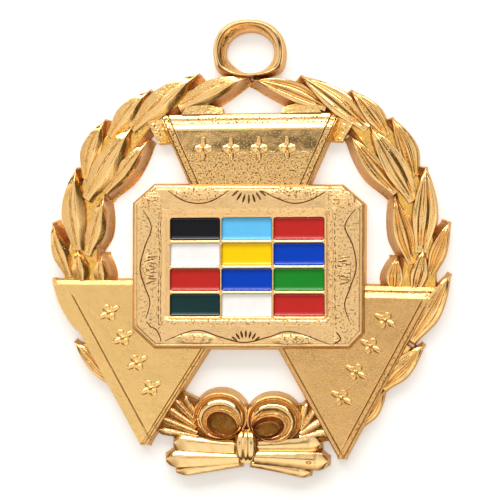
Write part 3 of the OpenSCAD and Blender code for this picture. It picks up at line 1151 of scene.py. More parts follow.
@dataclass(frozen=True)
class Plate:
    """A triangular plate: a rolled top edge, grooved rims down two sides, rosettes."""

    name: str
    corners: Sequence[Point]
    roll: Sequence[Point]
    right_grooves: Row
    left_grooves: Row
    rosettes: tuple[Point, Point, float]
    rosette_count: int = 4
    pitted: Row = ()
    pitted_width: float = 0.22
    rough_from: float = 99.0
    finish: Finish = SHADED_PLATE_GOLD
    cheek: Sequence[Point] = ()
    cheek_draft: float = 0.3
    edge_fall: Sequence[Point] = ((0.0, -0.28), (0.14, 0.0))
    grooves_from: float = 0.0
    groove_depth: float = 0.13
    groove_width: float = 0.075
    waviness: float = 1.0
    worked_from: Point = (1.2, 1.6)
    rim_width: float = 2.05
    field: float = 2.5
    sunk: float = 0.02
    base: float = 0.0
    draft: float = 0.3
    blunt: float = 1.0
    roll_steps: int = 34
    rows: int = 130
    rim_steps: int = 34
    columns: int = 138

    def distances(self, point: Vector) -> tuple[float, float, float]:
        """Give how far inside the top, right and left edges a point lies."""
        a, b, c = flat(self.corners)
        return tuple(
            -left_of(end - start).dot(point.xy - start) for start, end in ((a, b), (b, c), (c, a))
        )

    def height(self, point: Vector) -> float:
        """Give the height of the face."""
        top, right, left = self.distances(point)
        height = self.field + along_table(self.roll, top)
        edge = right if self.cheek else min(right, left)
        height += along_table(self.edge_fall, edge) - self.groove_depth * self.engraved(point)
        wave = 0.03 * ripple(point.x, point.y, 3.5) + 0.012 * ripple(point.x, point.y, 0.9, 4.0)
        return height + wave * self.waviness

    def engraved(self, point: Vector) -> float:
        """Tell how deep in a groove along a side a point lies, from 0 to 1."""
        top, right, left = self.distances(point)
        depths = [bell(right - at, self.groove_width) for at in self.right_grooves]
        depths += [bell(left - at, self.groove_width) for at in self.left_grooves]
        return max(depths) * (ease(top - self.grooves_from, 0.0, 0.3) if self.grooves_from else 1.0)

    def face(self) -> Form:
        """Build the plate itself; its grid crowds toward the roll and the two rims."""
        a, b, c = flat(self.corners)
        depth = self.distances(c)[0]
        roll_deep = self.roll[-1][0]
        long_left = (c - a).length / depth
        long_right = (c - b).length / depth
        share_roll, share_rim = self.roll_steps / self.rows, self.rim_steps / self.columns

        def place(u: float, v: float, level: float) -> Vector:
            """Give a point of the plate's face or wall."""
            w = (v + 1) / 2
            if w < share_roll:
                down = w / share_roll * roll_deep
            else:
                down = mix(roll_deep, depth - self.blunt, (w - share_roll) / (1 - share_roll))
            start, end = a.lerp(c, down / depth), b.lerp(c, down / depth)
            wide = (end - start).length
            left, right = (min(self.rim_width * long, 0.48 * wide) for long in (long_left, long_right))
            if u < share_rim:
                aside = u / share_rim * left
            elif u > 1 - share_rim:
                aside = wide - (1 - u) / share_rim * right
            else:
                aside = mix(left, wide - right, (u - share_rim) / (1 - 2 * share_rim))
            point = start + (end - start).normalized() * aside
            top = self.height(point)
            out = self.draft * (1 - level) ** 1.4
            if rim_side(2 * u - 1):
                point -= left_of((c - a) if u < 0.5 else (b - c)) * out
            if rim_side(v):
                point += left_of(b - a) * out * -rim_side(v)
            return Vector((point.x, point.y, mix(self.base, top, level)))
        return Form.relief(place, self.columns, self.rows, (0.9, 0.5, 0.0))

    def form(self) -> Form:
        """Build the plate with its rosettes and its cheek."""
        first, step, turn = self.rosettes
        low = self.field - self.sunk
        places = [Vector(first) + Vector(step) * i for i in range(self.rosette_count)]
        added = [Rosette().form(place, turn, low) for place in places]
        if self.cheek:
            outline = flat(self.cheek)
            top = drawn_in(outline, [self.cheek_draft] * (len(outline) - 3) + [0.1, 0.0, 0.0])
            added.append(Form.stack([outline, top], [self.base, low]))
        return self.face().combine(added, Join.FUSE)

    def punched(self, point: Vector) -> float:
        """Tell how rough the metal is punched at a point."""
        top, right, left = self.distances(point)
        worked = ease(point.z, *self.worked_from)
        bars = [
            ease(grooves[-1] - at, 0.0, 0.2) * worked
            for grooves, at in ((self.right_grooves, right), (self.left_grooves, left)) if len(grooves) > 1
        ]
        valleys = [bell(top - at, self.pitted_width) for at in self.pitted]
        return max(bars + valleys + [ease(top - self.rough_from, 0.0, 2.0)])

    def groove_shade(self, point: Vector) -> float:
        """Tell how dark the painted shade in the grooves is at a point."""
        return self.engraved(point) * ease(point.z, *self.worked_from)

    def dress(self) -> None:
        """Build the plate as a finished piece."""
        self.form().as_piece(self.name, self.finish, punched=self.punched, sunk=self.groove_shade)


@dataclass(frozen=True)
class Breastplate:
    """The eight-sided frame round twelve cells, with scrolls worked on its face."""

    outline: Sequence[Point] = (
        (-19.9, 7.5), (-16.2, 10.7), (15.3, 10.25), (19.0, 7.0),
        (18.85, -14.2), (16.4, -16.8), (-16.2, -16.9), (-19.9, -13.5),
    )
    steps: Sequence[int] = (16, 90, 16, 70, 12, 90, 16, 70)
    middle: Point = (-0.6, -3.3)
    cell: Point = (8.36, 3.76)
    walls: Point = (0.32, 0.46)
    cut_corner: float = 0.35
    slope_foot: float = 0.32
    wall_height: float = 3.2
    floor: float = 2.45
    opening: Point = (1.48, 1.55)
    frame_height: float = 3.6
    bevel: Sequence[Point] = (
        (-0.3, 0.1), (0.0, 2.9), (0.12, 3.2), (0.4, 3.5), (0.62, 3.56), (0.8, 3.5), (1.0, 3.58),
    )
    cell_levels: Sequence[Point] = (
        (0.0, 2.45), (0.0, 3.0), (0.02, 3.1), (0.14, 3.19), (0.17, 3.4), (0.18, 3.6),
    )
    cell_corner: float = 0.4
    cell_side: float = 0.5
    cell_lean: float = 0.6
    waves: Sequence[Point] = ((0.012, 1.3), (0.01, 0.45))
    slope_bend: Row = (1.3, 5.0, 1.0)
    slope_punch: float = 0.6
    band_rings: int = 26
    slope_rings: int = 6
    lines: Sequence[Sequence[Point]] = (
        (
            (-18.1, 6.4), (-16.6, 3.4), (-17.7, 0.1), (-18.5, -3.5), (-17.7, -6.5), (-16.8, -9.1),
            (-17.5, -11.9),
        ),
        ((17.4, 6.2), (15.7, 3.4), (17.0, 0.1), (17.5, -3.5), (16.4, -7.0), (15.6, -9.6), (16.4, -12.3)),
        ((-17.4, -12.3), (-16.7, -13.2), (-15.8, -13.7), (-15.2, -14.6), (-14.9, -15.8)),
        (
            (-14.3, -15.6), (-9.1, -13.8), (-5.0, -14.9), (-1.0, -15.8), (3.0, -14.9), (6.9, -14.0),
            (13.5, -16.2),
        ),
        ((13.5, -16.2), (14.9, -15.2), (14.2, -14.0)),
        ((-13.8, 9.5), (-11.4, 7.9), (-8.6, 7.3), (-6.0, 7.9), (-3.5, 9.5)),
        ((1.9, 9.4), (4.6, 8.0), (7.4, 7.2), (10.2, 7.8), (12.7, 9.2)),
    )
    rough_lines: Sequence[Sequence[Point]] = (
        ((-15.0, 5.9), (-15.2, 3.0), (-14.95, -0.5), (-15.1, -4.5), (-15.2, -9.0), (-15.1, -13.0)),
        ((13.9, 5.6), (13.8, 2.0), (13.95, -2.5), (13.8, -7.0), (13.9, -12.9)),
    )
    line_steps: tuple[int, int] = (44, 110)
    line_sides: int = 4
    rough_asides: Point = (-0.2, 0.18)
    fans: Sequence[Row] = ((-0.2, 11.0, 2.3, 3.8, -90), (-0.7, -16.9, 1.9, 3.1, 90))
    fan_turn: float = 16.0
    fan_mark: Point = (0.19, 0.22)
    pads: Sequence[tuple[Point, Point]] = (
        ((-16.5, 7.8), (1.6, 1.5)), ((15.7, 7.7), (1.6, 1.5)), ((-8.6, 8.9), (4.4, 1.1)),
        ((7.4, 8.8), (4.6, 1.1)), ((-17.2, -3.7), (1.1, 2.6)), ((15.6, -4.0), (1.1, 2.4)),
        ((-9.2, -15.2), (3.6, 0.8)), ((7.0, -15.3), (3.6, 0.8)),
    )
    pad_rise: Point = (-0.06, 0.2)
    hatches: Sequence[Point] = ((-16.6, -3.7), (15.6, -3.9))
    hatch_long: float = 1.7
    hatch_pitch: float = 0.52
    hatch_mark: Point = (0.12, 0.14)

    def grid(self) -> Vector:
        """Give the size of the block of cells."""
        return Vector((3 * self.cell[0] + 2 * self.walls[0], 4 * self.cell[1] + 3 * self.walls[1]))

    def rectangle(self, grow: Point) -> list[Vector]:
        """Give the block of cells, grown and with its corners cut, in eight corners."""
        half = self.grid() / 2 + Vector(grow)
        cut = self.cut_corner
        signs = ((-1, 1), (1, 1), (1, -1), (-1, -1))
        corners = []
        for index, (sx, sy) in enumerate(signs):
            along = Vector((sx * (half.x - cut), sy * half.y))
            down = Vector((sx * half.x, sy * (half.y - cut)))
            corners += [down, along] if index % 2 == 0 else [along, down]
        return [Vector(self.middle) + corner for corner in corners]

    def resampled(self, corners: Sequence[Vector]) -> list[Vector]:
        """Split each edge of an eight-cornered outline into its steps."""
        points = []
        for i, count in enumerate(self.steps):
            here, there = corners[i], corners[(i + 1) % len(corners)]
            points += [here.lerp(there, k / count) for k in range(count)]
        return points

    def frame(self) -> Form:
        """Build the block with its bevelled outside, face and sloped opening."""
        outline = flat(self.outline)
        rings = [(self.resampled(drawn_in(outline, [inset] * 8)), height) for inset, height in self.bevel]
        face_start, rise = rings[-1][0], self.frame_height
        face_end = self.resampled(self.rectangle(self.opening))
        low = self.resampled(self.rectangle((self.slope_foot, self.slope_foot)))
        inner_rings = self.band_rings + self.slope_rings

        def place(step: int, ring: int) -> Vector:
            """Give a point of the bevel, the band or the slope."""
            if ring < len(rings):
                points, height = rings[ring]
                return Vector((points[step].x, points[step].y, height))
            inner = ring - len(rings) + 1
            if inner <= self.band_rings:
                at = face_start[step].lerp(face_end[step], inner / self.band_rings)
                height = rise + uneven(at.x, at.y, self.waves)
            else:
                share = (inner - self.band_rings) / self.slope_rings
                at = face_end[step].lerp(low[step], share)
                low_side = ease(self.middle[1] - at.y - self.grid().y / 2, 0.0, 0.3)
                right_side = ease(at.x - self.middle[0] - self.grid().x / 2, 0.0, 0.3)
                plain, lower, right = self.slope_bend
                share **= plain + lower * low_side + right * right_side
                height = mix(rise, self.wall_height, share)
            return Vector((at.x, at.y, height))
        return Form.tube(place, sum(self.steps), len(rings) + inner_rings)

    def cell_middle(self, row: int, column: int) -> Vector:
        """Give the middle of a cell, counting from 1 at the upper left."""
        pitch = Vector(self.cell) + Vector(self.walls)
        return Vector(self.middle) + Vector(((column - 2) * pitch.x, (2.5 - row) * pitch.y))

    def pocket(self, row: int, column: int) -> Form:
        """Build the room of one cell, which opens toward its lower side at the top.

        Args:
            row: Number of the row, from 1 at the top.
            column: Number of the column, from 1 at the left.

        Returns:
            The closed form.
        """
        half = Vector(self.cell) / 2
        middle = self.cell_middle(row, column)
        outlines = [
            rounded_rectangle(
                middle - Vector((0, self.cell_lean * grow)),
                half + Vector((self.cell_side * grow, grow)),
                self.cell_corner + self.cell_side * grow,
            )
            for grow, _ in self.cell_levels
        ]
        return Form.stack(outlines, [height for _, height in self.cell_levels])

    def traced(self, points: Sequence[Point], count: int) -> list[Vector]:
        """Follow a curve through points on the face in a number of steps."""
        return [Vector((*spline(points, i / count), self.frame_height)) for i in range(count + 1)]

    def dash(self, start: Vector, way: Vector, wide: float, deep: float) -> Form:
        """Build the cutter of one short mark, widest in its middle.

        Args:
            start: One end of the mark.
            way: The way to its other end.
            wide: Half of its width.
            deep: How deep it is cut.

        Returns:
            The closed form.
        """
        def radius(share: float) -> Point:
            """Give half the width and the depth at a share of the way."""
            return wide * math.sin(math.pi * mix(0.1, 0.9, share)), deep
        return Form.sweep([start + way * (k / 8) for k in range(9)], radius)

    def line_forms(self) -> list[Form]:
        """Build the cutters of the engraved lines, fans and hatches."""
        def fine(share: float) -> Point:
            """Give half the width and the depth of a smooth line."""
            return 0.03 + 0.09 * math.sin(math.pi * share) ** 0.5, 0.2
        few, many = self.line_steps
        forms = [Form.sweep(self.traced(points, few), fine, self.line_sides) for points in self.lines]
        for points in self.rough_lines:
            for aside in self.rough_asides:
                def torn(share: float, aside: float = aside) -> Point:
                    """Give half the width and the depth of a torn line."""
                    return 0.09 + 0.07 * math.sin(97 * share + 30 * aside), 0.17
                forms.append(Form.sweep([
                    at + Vector((aside + 0.16 * ripple(at.x, at.y, 0.35, aside), 0, 0))
                    for at in self.traced(points, many)
                ], torn, 6))
        for x, y, near, far, turn in self.fans:
            for i in range(-3, 4):
                angle = math.radians(turn + self.fan_turn * i)
                way = Vector((math.cos(angle), math.sin(angle), 0))
                root = Vector((x, y, self.frame_height))
                forms.append(self.dash(root + way * near, way * (far - near), *self.fan_mark))
        for x, y in self.hatches:
            for i in range(9):
                at = Vector((x + 0.3 * math.sin(2.4 * i), y + self.hatch_pitch * (i - 4), self.frame_height))
                way = Vector((self.hatch_long, 0.5 * math.cos(1.7 * i), 0))
                forms.append(self.dash(at - way / 2, way, *self.hatch_mark))
        return forms

    def pad_forms(self) -> list[Form]:
        """Build the low cushions that are punched rough."""
        low, tall = self.pad_rise
        return [
            Form.bead(Vector((*middle, self.frame_height + low)), Vector((*radii, tall)), finer=5)
            for middle, radii in self.pads
        ]

    def punched(self, point: Vector) -> float:
        """Tell how rough the metal is punched at a point."""
        if point.z < self.wall_height + 0.05:
            return 0.0
        pad = max(
            ease(math.hypot((point.x - x) / wide, (point.y - y) / tall), 1.15, 0.9)
            for (x, y), (wide, tall) in self.pads
        )
        half = self.grid() / 2 + Vector(self.opening)
        aside = abs(point.x - self.middle[0]) - half.x
        band = ease(self.inside(point), 0.7, 1.1) * ease(aside, 0.0, 0.2)
        right = half.x - (point.x - self.middle[0])
        low = half.y - (self.middle[1] - point.y)
        slope = ease(max(0.0, min(right, low)), 1.15, 0.95) * ease(min(right, low), 0.0, 0.2)
        return max(pad, self.slope_punch * slope, band * mix(0.4, 1.0, bell(aside - 0.15, 0.4)))

    def inside(self, point: Vector) -> float:
        """Give how far inside the outline a point lies."""
        outline = flat(self.outline)
        return min(-left_of(b - a).dot(point.xy - a) for a, b in zip(outline, outline[1:] + outline[:1]))

    def engraved(self, point: Vector) -> float:
        """Tell how deep in an engraved line a point of the band lies."""
        half = self.grid() / 2 + Vector(self.opening)
        aside = max(abs(point.x - self.middle[0]) - half.x, abs(point.y - self.middle[1]) - half.y)
        on_band = aside > 0.02 and self.inside(point) > 0.75
        broken = ease(0.9 + 0.7 * ripple(point.x, point.y, 0.4))
        return broken * ease(self.frame_height - 0.05 - point.z, 0.0, 0.1) if on_band else 0.0

    def dress(self) -> None:
        """Build the breastplate as a finished piece."""
        cells = [(row, column) for row in range(1, 5) for column in range(1, 4)]
        pockets = [self.pocket(row, column) for row, column in cells]
        form = self.frame().combine(self.pad_forms(), Join.FUSE)
        form.combine(self.line_forms(), Join.CUT).combine(pockets, Join.CUT)
        # the engraved lines are darkened with painted shade
        form.as_piece("breastplate", BREASTPLATE_GOLD, punched=self.punched, sunk=self.engraved)


@dataclass(frozen=True)
class EnamelSet:
    """The twelve fillings of hard enamel, each hollowed a little toward its middle."""

    colours: Sequence[Sequence[str]] = (
        ("black", "sky", "red"), ("white", "yellow", "blue"), ("red", "blue", "green"),
        ("teal", "white", "red"),
    )
    gap: float = 0.03
    top: float = 3.05
    middle_top: float = 2.72
    corner: float = 0.37
    meniscus: float = 0.7
    side_meniscus: float = 0.16
    steps: tuple[int, int] = (56, 36)

    def filling(self, row: int, column: int) -> Form:
        """Build the filling of one cell.

        Args:
            row: Number of the row, from 1 at the top.
            column: Number of the column, from 1 at the left.

        Returns:
            The closed form.
        """
        plate = Breastplate()
        middle = plate.cell_middle(row, column)
        half = Vector(plate.cell) / 2 - Vector((self.gap, self.gap))

        def place(u: float, v: float, level: float) -> Vector:
            """Give a point of the filling; its grid crowds toward the walls."""
            crowded = [math.sin(value * math.pi / 2) for value in (2 * u - 1, v)]
            side = Vector((crowded[0] * half.x, crowded[1] * half.y))
            into = Vector((abs(side.x) - half.x + self.corner, abs(side.y) - half.y + self.corner))
            if into.x > 0 and into.y > 0:
                x, y = into / self.corner
                bent = Vector((x * math.sqrt(1 - y ** 2 / 2), y * math.sqrt(1 - x ** 2 / 2)))
                side.x = math.copysign(half.x - self.corner + bent.x * self.corner, side.x)
                side.y = math.copysign(half.y - self.corner + bent.y * self.corner, side.y)
            near = min(half.x - abs(side.x), half.y - side.y) / self.side_meniscus
            low = (half.y + side.y) / self.meniscus
            height = self.middle_top + (self.top - self.middle_top) * max(0.0, 1 - min(near, low)) ** 2
            return Vector((middle.x + side.x, middle.y + side.y, mix(plate.floor, height, level)))
        return Form.relief(place, *self.steps, (0.0,))

    def dress(self) -> None:
        """Build the fillings as finished pieces."""
        for row, names in enumerate(self.colours, start=1):
            for column, colour in enumerate(names, start=1):
                node = f"enamel_row{row}_column{column}"
                finish = EnamelFinish(f"{colour}_enamel", f"enamel_{colour}", ENAMEL_COLOURS[colour])
                self.filling(row, column).as_piece(f"{node}_filling", finish, node)


@dataclass(frozen=True)
class Bow:
    """The ribbon bow: two loops, a knot, fluted tails and the stalks beside them."""

    loops: Sequence[Sequence[Row]] = (
        (
            (-5.1, -28.0, 4.9, 4.6, 0, 0.15), (-5.1, -28.1, 4.65, 4.1, 0, 1.9),
            (-5.2, -28.2, 4.35, 3.85, 0, 2.4), (-5.15, -28.3, 4.1, 3.6, 0, 1.9),
            (-5.1, -28.5, 3.8, 3.3, -5, 2.7), (-5.0, -28.8, 3.3, 2.8, -10, 3.1),
            (-4.8, -29.2, 2.9, 2.3, -18, 2.5), (-4.75, -29.4, 2.65, 2.0, -24, 2.9),
            (-4.7, -29.6, 2.4, 1.65, -26, 1.6), (-4.7, -29.7, 1.9, 1.1, -28, 1.25),
            (-4.7, -29.7, 0.5, 0.3, -28, 1.1),
        ),
        (
            (3.75, -28.5, 4.9, 4.5, 0, 0.15), (3.75, -28.6, 4.65, 4.1, 0, 1.9),
            (3.85, -28.7, 4.3, 3.9, 0, 2.4), (3.8, -28.8, 4.05, 3.65, 0, 1.9),
            (3.7, -29.0, 3.75, 3.3, 0, 2.7), (3.5, -29.2, 3.3, 2.8, 5, 3.1),
            (3.2, -29.6, 2.95, 2.15, 10, 2.5), (3.0, -29.8, 2.7, 1.85, 12, 2.9),
            (2.8, -30.0, 2.4, 1.45, 12, 1.6), (2.7, -30.05, 2.2, 1.3, 8, 1.45),
            (2.65, -30.2, 2.05, 1.15, 8, 2.1), (2.6, -30.35, 1.8, 0.95, 8, 1.5),
            (2.6, -30.4, 0.5, 0.3, 8, 1.4),
        ),
    )
    knot_middle: Point = (-0.8, -33.0)
    knot_half: Point = (2.15, 2.75)
    knot_drafts: Point = (0.3, 1.1)
    knot_top: float = 3.65
    knot_fold: float = 0.2
    tails: Sequence[Row] = (
        (-2.0, -33.2, -12.9, -32.6, 1.55, 0.1, 2.6, 0.35),
        (-2.0, -35.0, -14.2, -35.3, 1.45, 0.0, 2.95, 0.15),
        (-2.0, -35.7, -12.5, -37.2, 0.95, 0.0, 2.5, -0.1),
        (0.6, -33.3, 11.5, -32.7, 1.55, -0.1, 2.6, -0.35),
        (0.6, -34.9, 12.7, -35.4, 1.5, 0.0, 2.95, -0.15),
        (0.2, -35.8, 9.7, -37.3, 0.95, 0.1, 2.5, 0.1),
    )
    tail_falls: Point = (0.2, 0.09)
    tail_near: float = 0.66
    tail_pit: Sequence[Row] = ((9.6, -35.5, 2.95), (0.5, 0.32, 0.45))
    stalks: Sequence[Row] = (
        (-8.9, -31.6, -15.8, -30.5, 0.75, 0.0, 2.0), (-9.0, -30.9, -15.4, -28.4, 0.7, 0.0, 2.3),
        (-9.2, -30.0, -14.4, -26.6, 0.7, 0.0, 2.1), (-9.3, -29.0, -13.0, -25.2, 0.65, 0.0, 2.3),
        (-9.3, -28.0, -11.2, -24.8, 0.65, 0.0, 2.0), (8.3, -29.6, 9.3, -25.8, 0.65, 0.0, 2.2),
        (8.3, -30.2, 10.9, -26.8, 0.7, 0.0, 2.4), (8.2, -30.9, 12.2, -28.6, 0.8, 0.0, 2.3),
        (8.1, -31.6, 13.4, -30.6, 0.8, 0.0, 2.1),
    )
    webs: Sequence[Sequence[Point]] = (
        ((-17.0, -29.9), (-8.0, -33.2), (-8.0, -25.6), (-12.8, -23.5)),
        ((-10.0, -36.0), (9.0, -36.0), (8.0, -27.0), (-9.0, -27.0)),
        ((7.2, -33.2), (14.2, -32.0), (10.6, -25.8), (7.2, -26.0)),
    )
    web_height: float = 1.5
    base: float = 0.15
    rings: int = 66
    around: int = 96
    stalks_from: Point = (8.6, 9.2)
    stalk_punch: float = 0.55

    def loop_form(self, table: Sequence[Row]) -> Form:
        """Build one loop of ribbon, with folds running round it.

        Args:
            table: For each fold its middle, half sizes, turn in degrees and height.

        Returns:
            The closed form.
        """
        def place(step: int, ring: int) -> Vector:
            """Give a point of the ribbon."""
            share = ring / (self.rings - 1)
            x, y, wide, tall, turn, z = spline(table, share)
            angle = math.tau * step / self.around
            at = Vector((wide * math.cos(angle), tall * math.sin(angle)))
            at = Matrix.Rotation(math.radians(turn), 2) @ at
            wave = 0.05 * ease(share, 0.0, 0.2) * ripple(at.x, at.y + 3 * x, 0.7)
            return Vector((x + at.x, y + at.y, max(self.base, z + wave)))
        return Form.tube(place, self.around, self.rings)

    def knot_form(self) -> Form:
        """Build the knot, a cushion with three upright folds."""
        middle, half = Vector(self.knot_middle), Vector(self.knot_half)

        def place(u: float, v: float, level: float) -> Vector:
            """Give a point of the knot's face or wall."""
            up = 2 * u - 1
            wide = half.x * (1 - 0.35 * abs(up) ** 3)
            tall = half.y * (1 - 0.16 * abs(v) ** 3)
            out = (1 - level) ** 1.3
            at = middle + Vector((v * wide, up * tall))
            at += Vector((rim_side(v) * self.knot_drafts[v > 0], rim_side(up) * self.knot_drafts[0])) * out
            dome = (1 - 0.34 * abs(v) ** 3) * (1 - 0.3 * abs(up) ** 3)
            height = self.knot_top * dome - self.knot_fold * (0.5 - 0.5 * math.cos(3 * math.pi * v))
            return Vector((at.x, at.y, mix(self.base, height, level)))
        return Form.relief(place, 40, 48, (0.8, 0.4, 0.0))

    def dress(self) -> None:
        """Build the bow as a finished piece."""
        upper, lower = self.tail_falls
        strips = []
        for row in self.tails:
            falls = (lower, upper) if row[2] < row[0] else (upper, lower)
            strips.append(Flute(*row, *falls, near=self.tail_near).form(self.base))
        for row in self.stalks:
            strips.append(Flute(*row, right_fall=0.4, blunt=0.35, spreads=(0.25, 0.25)).form(self.base))
        webs = [Patch(corners, (self.web_height,) * 4).form() for corners in self.webs]
        parts = webs + [self.loop_form(table) for table in self.loops] + strips
        pit = Form.bead(*(Vector(row) for row in self.tail_pit), finer=4)
        form = self.knot_form().combine(parts, Join.FUSE).combine([pit], Join.CUT)
        form.as_piece("ribbon_bow", BOW_GOLD, punched=self.punched)

    def punched(self, point: Vector) -> float:
        """Tell how rough the stalks and the floors of the loops are at a point."""
        aside = ease(abs(point.x + 0.6), *self.stalks_from)
        inside = ease(point.z, 1.9, 1.6) * (1 - aside)
        return max(self.stalk_punch * aside, inside) * ease(point.y, -32.2, -31.4)


LEFT_BRANCH = Branch(
    name="laurel_branch_left",
    style=LeafStyle.RIDGED,
    inner_side=1,
    smooth_from=11,
    leaves=(
        (-12.2, 23.5, -0.6, 28.6, 1.8, 0.5, 2.6), (-20.2, 20.0, -9.0, 29.2, 2.1, 0.5, 2.8),
        (-24.1, 18.9, -17.3, 26.6, 1.6, 0.4, 2.5), (-28.2, 11.7, -25.0, 21.7, 1.7, 0.7, 2.5),
        (-28.0, 8.2, -20.1, 20.7, 2.1, 0.2, 3.1), (-24.9, 9.3, -17.5, 18.3, 1.4, -0.2, 2.7),
        (-29.3, -0.4, -29.9, 13.5, 2.0, 0.7, 3.0), (-27.8, -1.3, -25.1, 8.8, 1.6, -0.3, 2.7),
        (-30.9, -4.9, -34.0, 4.2, 1.4, 0.2, 2.6), (-29.0, -7.1, -29.6, -0.1, 1.4, -0.3, 2.9),
        (-25.3, -7.1, -25.4, -1.0, 1.3, 0.1, 2.6), (-23.2, -22.9, -30.0, -15.9, 1.4, 0.0, 2.35),
    ),
    web=(
        (-6.0, 26.3, 1.0), (-12.2, 24.9, 1.8), (-17.3, 22.3, 2.6), (-21.8, 18.1, 3.3), (-25.5, 12.8, 3.0),
        (-27.3, 7.0, 2.8), (-28.1, 2.0, 3.0), (-28.5, -2.5, 3.4), (-28.5, -6.8, 4.2),
    ),
)
RIGHT_BRANCH = Branch(
    name="laurel_branch_right",
    style=LeafStyle.SUNK,
    inner_side=-1,
    smooth_from=11,
    leaves=(
        (12.6, 23.4, 0.4, 28.2, 1.6, -0.5, 2.6), (19.5, 19.8, 8.3, 28.6, 1.9, -0.4, 2.8),
        (22.7, 18.6, 16.7, 26.0, 1.4, -0.4, 2.5), (27.1, 11.6, 23.4, 21.3, 1.5, -0.6, 2.5),
        (27.0, 7.6, 19.8, 20.1, 1.9, -0.2, 3.1), (24.2, 9.0, 16.7, 18.4, 1.45, 0.2, 2.7),
        (28.1, -1.0, 28.9, 13.0, 1.95, -0.3, 3.0), (26.8, -2.8, 23.9, 8.4, 1.65, 0.1, 2.7),
        (29.6, -4.6, 32.7, 3.9, 1.2, 0.1, 2.6), (27.0, -7.8, 28.6, -0.4, 1.4, -0.2, 2.9),
        (23.8, -7.8, 24.2, -1.7, 1.3, 0.2, 2.6), (26.3, -15.4, 32.7, -4.6, 1.7, -0.3, 2.6),
        (21.6, -23.2, 28.4, -16.2, 1.6, 0.0, 2.4), (17.6, -29.6, 22.1, -23.6, 1.15, -0.2, 2.2),
    ),
    web=(
        (5.6, 25.9, 1.0), (11.8, 24.7, 1.8), (16.7, 22.2, 2.6), (20.8, 18.0, 3.2), (24.6, 12.6, 2.9),
        (26.5, 7.0, 2.8), (27.3, 2.0, 3.0), (27.5, -2.5, 3.2), (26.8, -9.4, 4.2),
    ),
)
PLATES = (
    Plate(
        name="plate_top",
        base=0.06,
        corners=((-15.7, 22.5), (15.1, 22.5), (-0.2, -12.0)),
        roll=(
            (0.0, -0.98), (0.15, -0.76), (0.75, -0.54), (0.85, -0.62), (1.05, -0.56), (1.4, -0.5),
            (1.65, -0.37), (2.35, -0.09), (2.6, 0.0),
        ),
        right_grooves=(0.37, 1.37),
        left_grooves=(0.37, 1.37),
        rosettes=((-8.0, 16.5), (4.7, 0.0), 0.0),
        pitted=(0.85, 1.5),
        rough_from=6.2,
        finish=TOP_PLATE_GOLD,
        waviness=1.3,
    ),
    Plate(
        name="plate_left",
        corners=((-34.0, -5.35), (0.1, -5.5), (-18.0, -34.0)),
        roll=((0.0, -0.5), (0.1, -0.26), (0.75, -0.03), (0.85, 0.0)),
        right_grooves=(0.5, 0.97),
        left_grooves=(1.9,),
        grooves_from=2.4,
        finish=LEFT_PLATE_GOLD,
        cheek=(
            (-28.6, -15.6), (-30.4, -13.8), (-31.7, -12.2), (-32.5, -10.9), (-33.3, -9.3), (-33.9, -7.9),
            (-34.3, -6.3), (-34.4, -4.95), (-33.4, -4.95), (-28.0, -15.2),
        ),
        cheek_draft=0.6,
        rosettes=((-24.0, -10.9), (2.4, -4.2), -60.0),
    ),
    Plate(
        name="plate_right",
        base=0.03,
        corners=((-1.5, -5.9), (30.9, -6.6), (15.15, -35.9)),
        roll=(
            (0.0, -0.72), (0.12, -0.46), (0.8, -0.2), (0.98, -0.5), (1.1, -0.46), (2.0, -0.04), (2.2, 0.0),
        ),
        grooves_from=2.1,
        right_grooves=(0.4, 1.25),
        left_grooves=(0.75,),
        rosettes=((22.2, -12.1), (-2.4, -4.25), 60.0),
        pitted=(1.0,),
    ),
)


@dataclass(frozen=True)
class Softbox:
    """A soft light: where it stands as seen from the jewel, how big and how bright."""

    name: str
    azimuth: float
    elevation: float
    distance: float
    size: Point
    radiance: float
    colour: Colour = (1.0, 1.0, 1.0)

    def dress(self) -> None:
        """Place the light so that it faces the jewel."""
        light = bpy.data.lights.new(self.name, "AREA")
        light.shape = "RECTANGLE"
        light.size, light.size_y = self.size
        light.energy = self.radiance * math.pi * self.size[0] * self.size[1]
        light.color = self.colour
        lamp = bpy.data.objects.new(self.name, light)
        across, up = math.radians(self.azimuth), math.radians(self.elevation)
        way = Vector((math.cos(up) * math.cos(across), math.cos(up) * math.sin(across), math.sin(up)))
        lamp.location = way * self.distance
        lamp.rotation_euler = way.to_track_quat("Z", "Y").to_euler()
        bpy.context.scene.collection.objects.link(lamp)


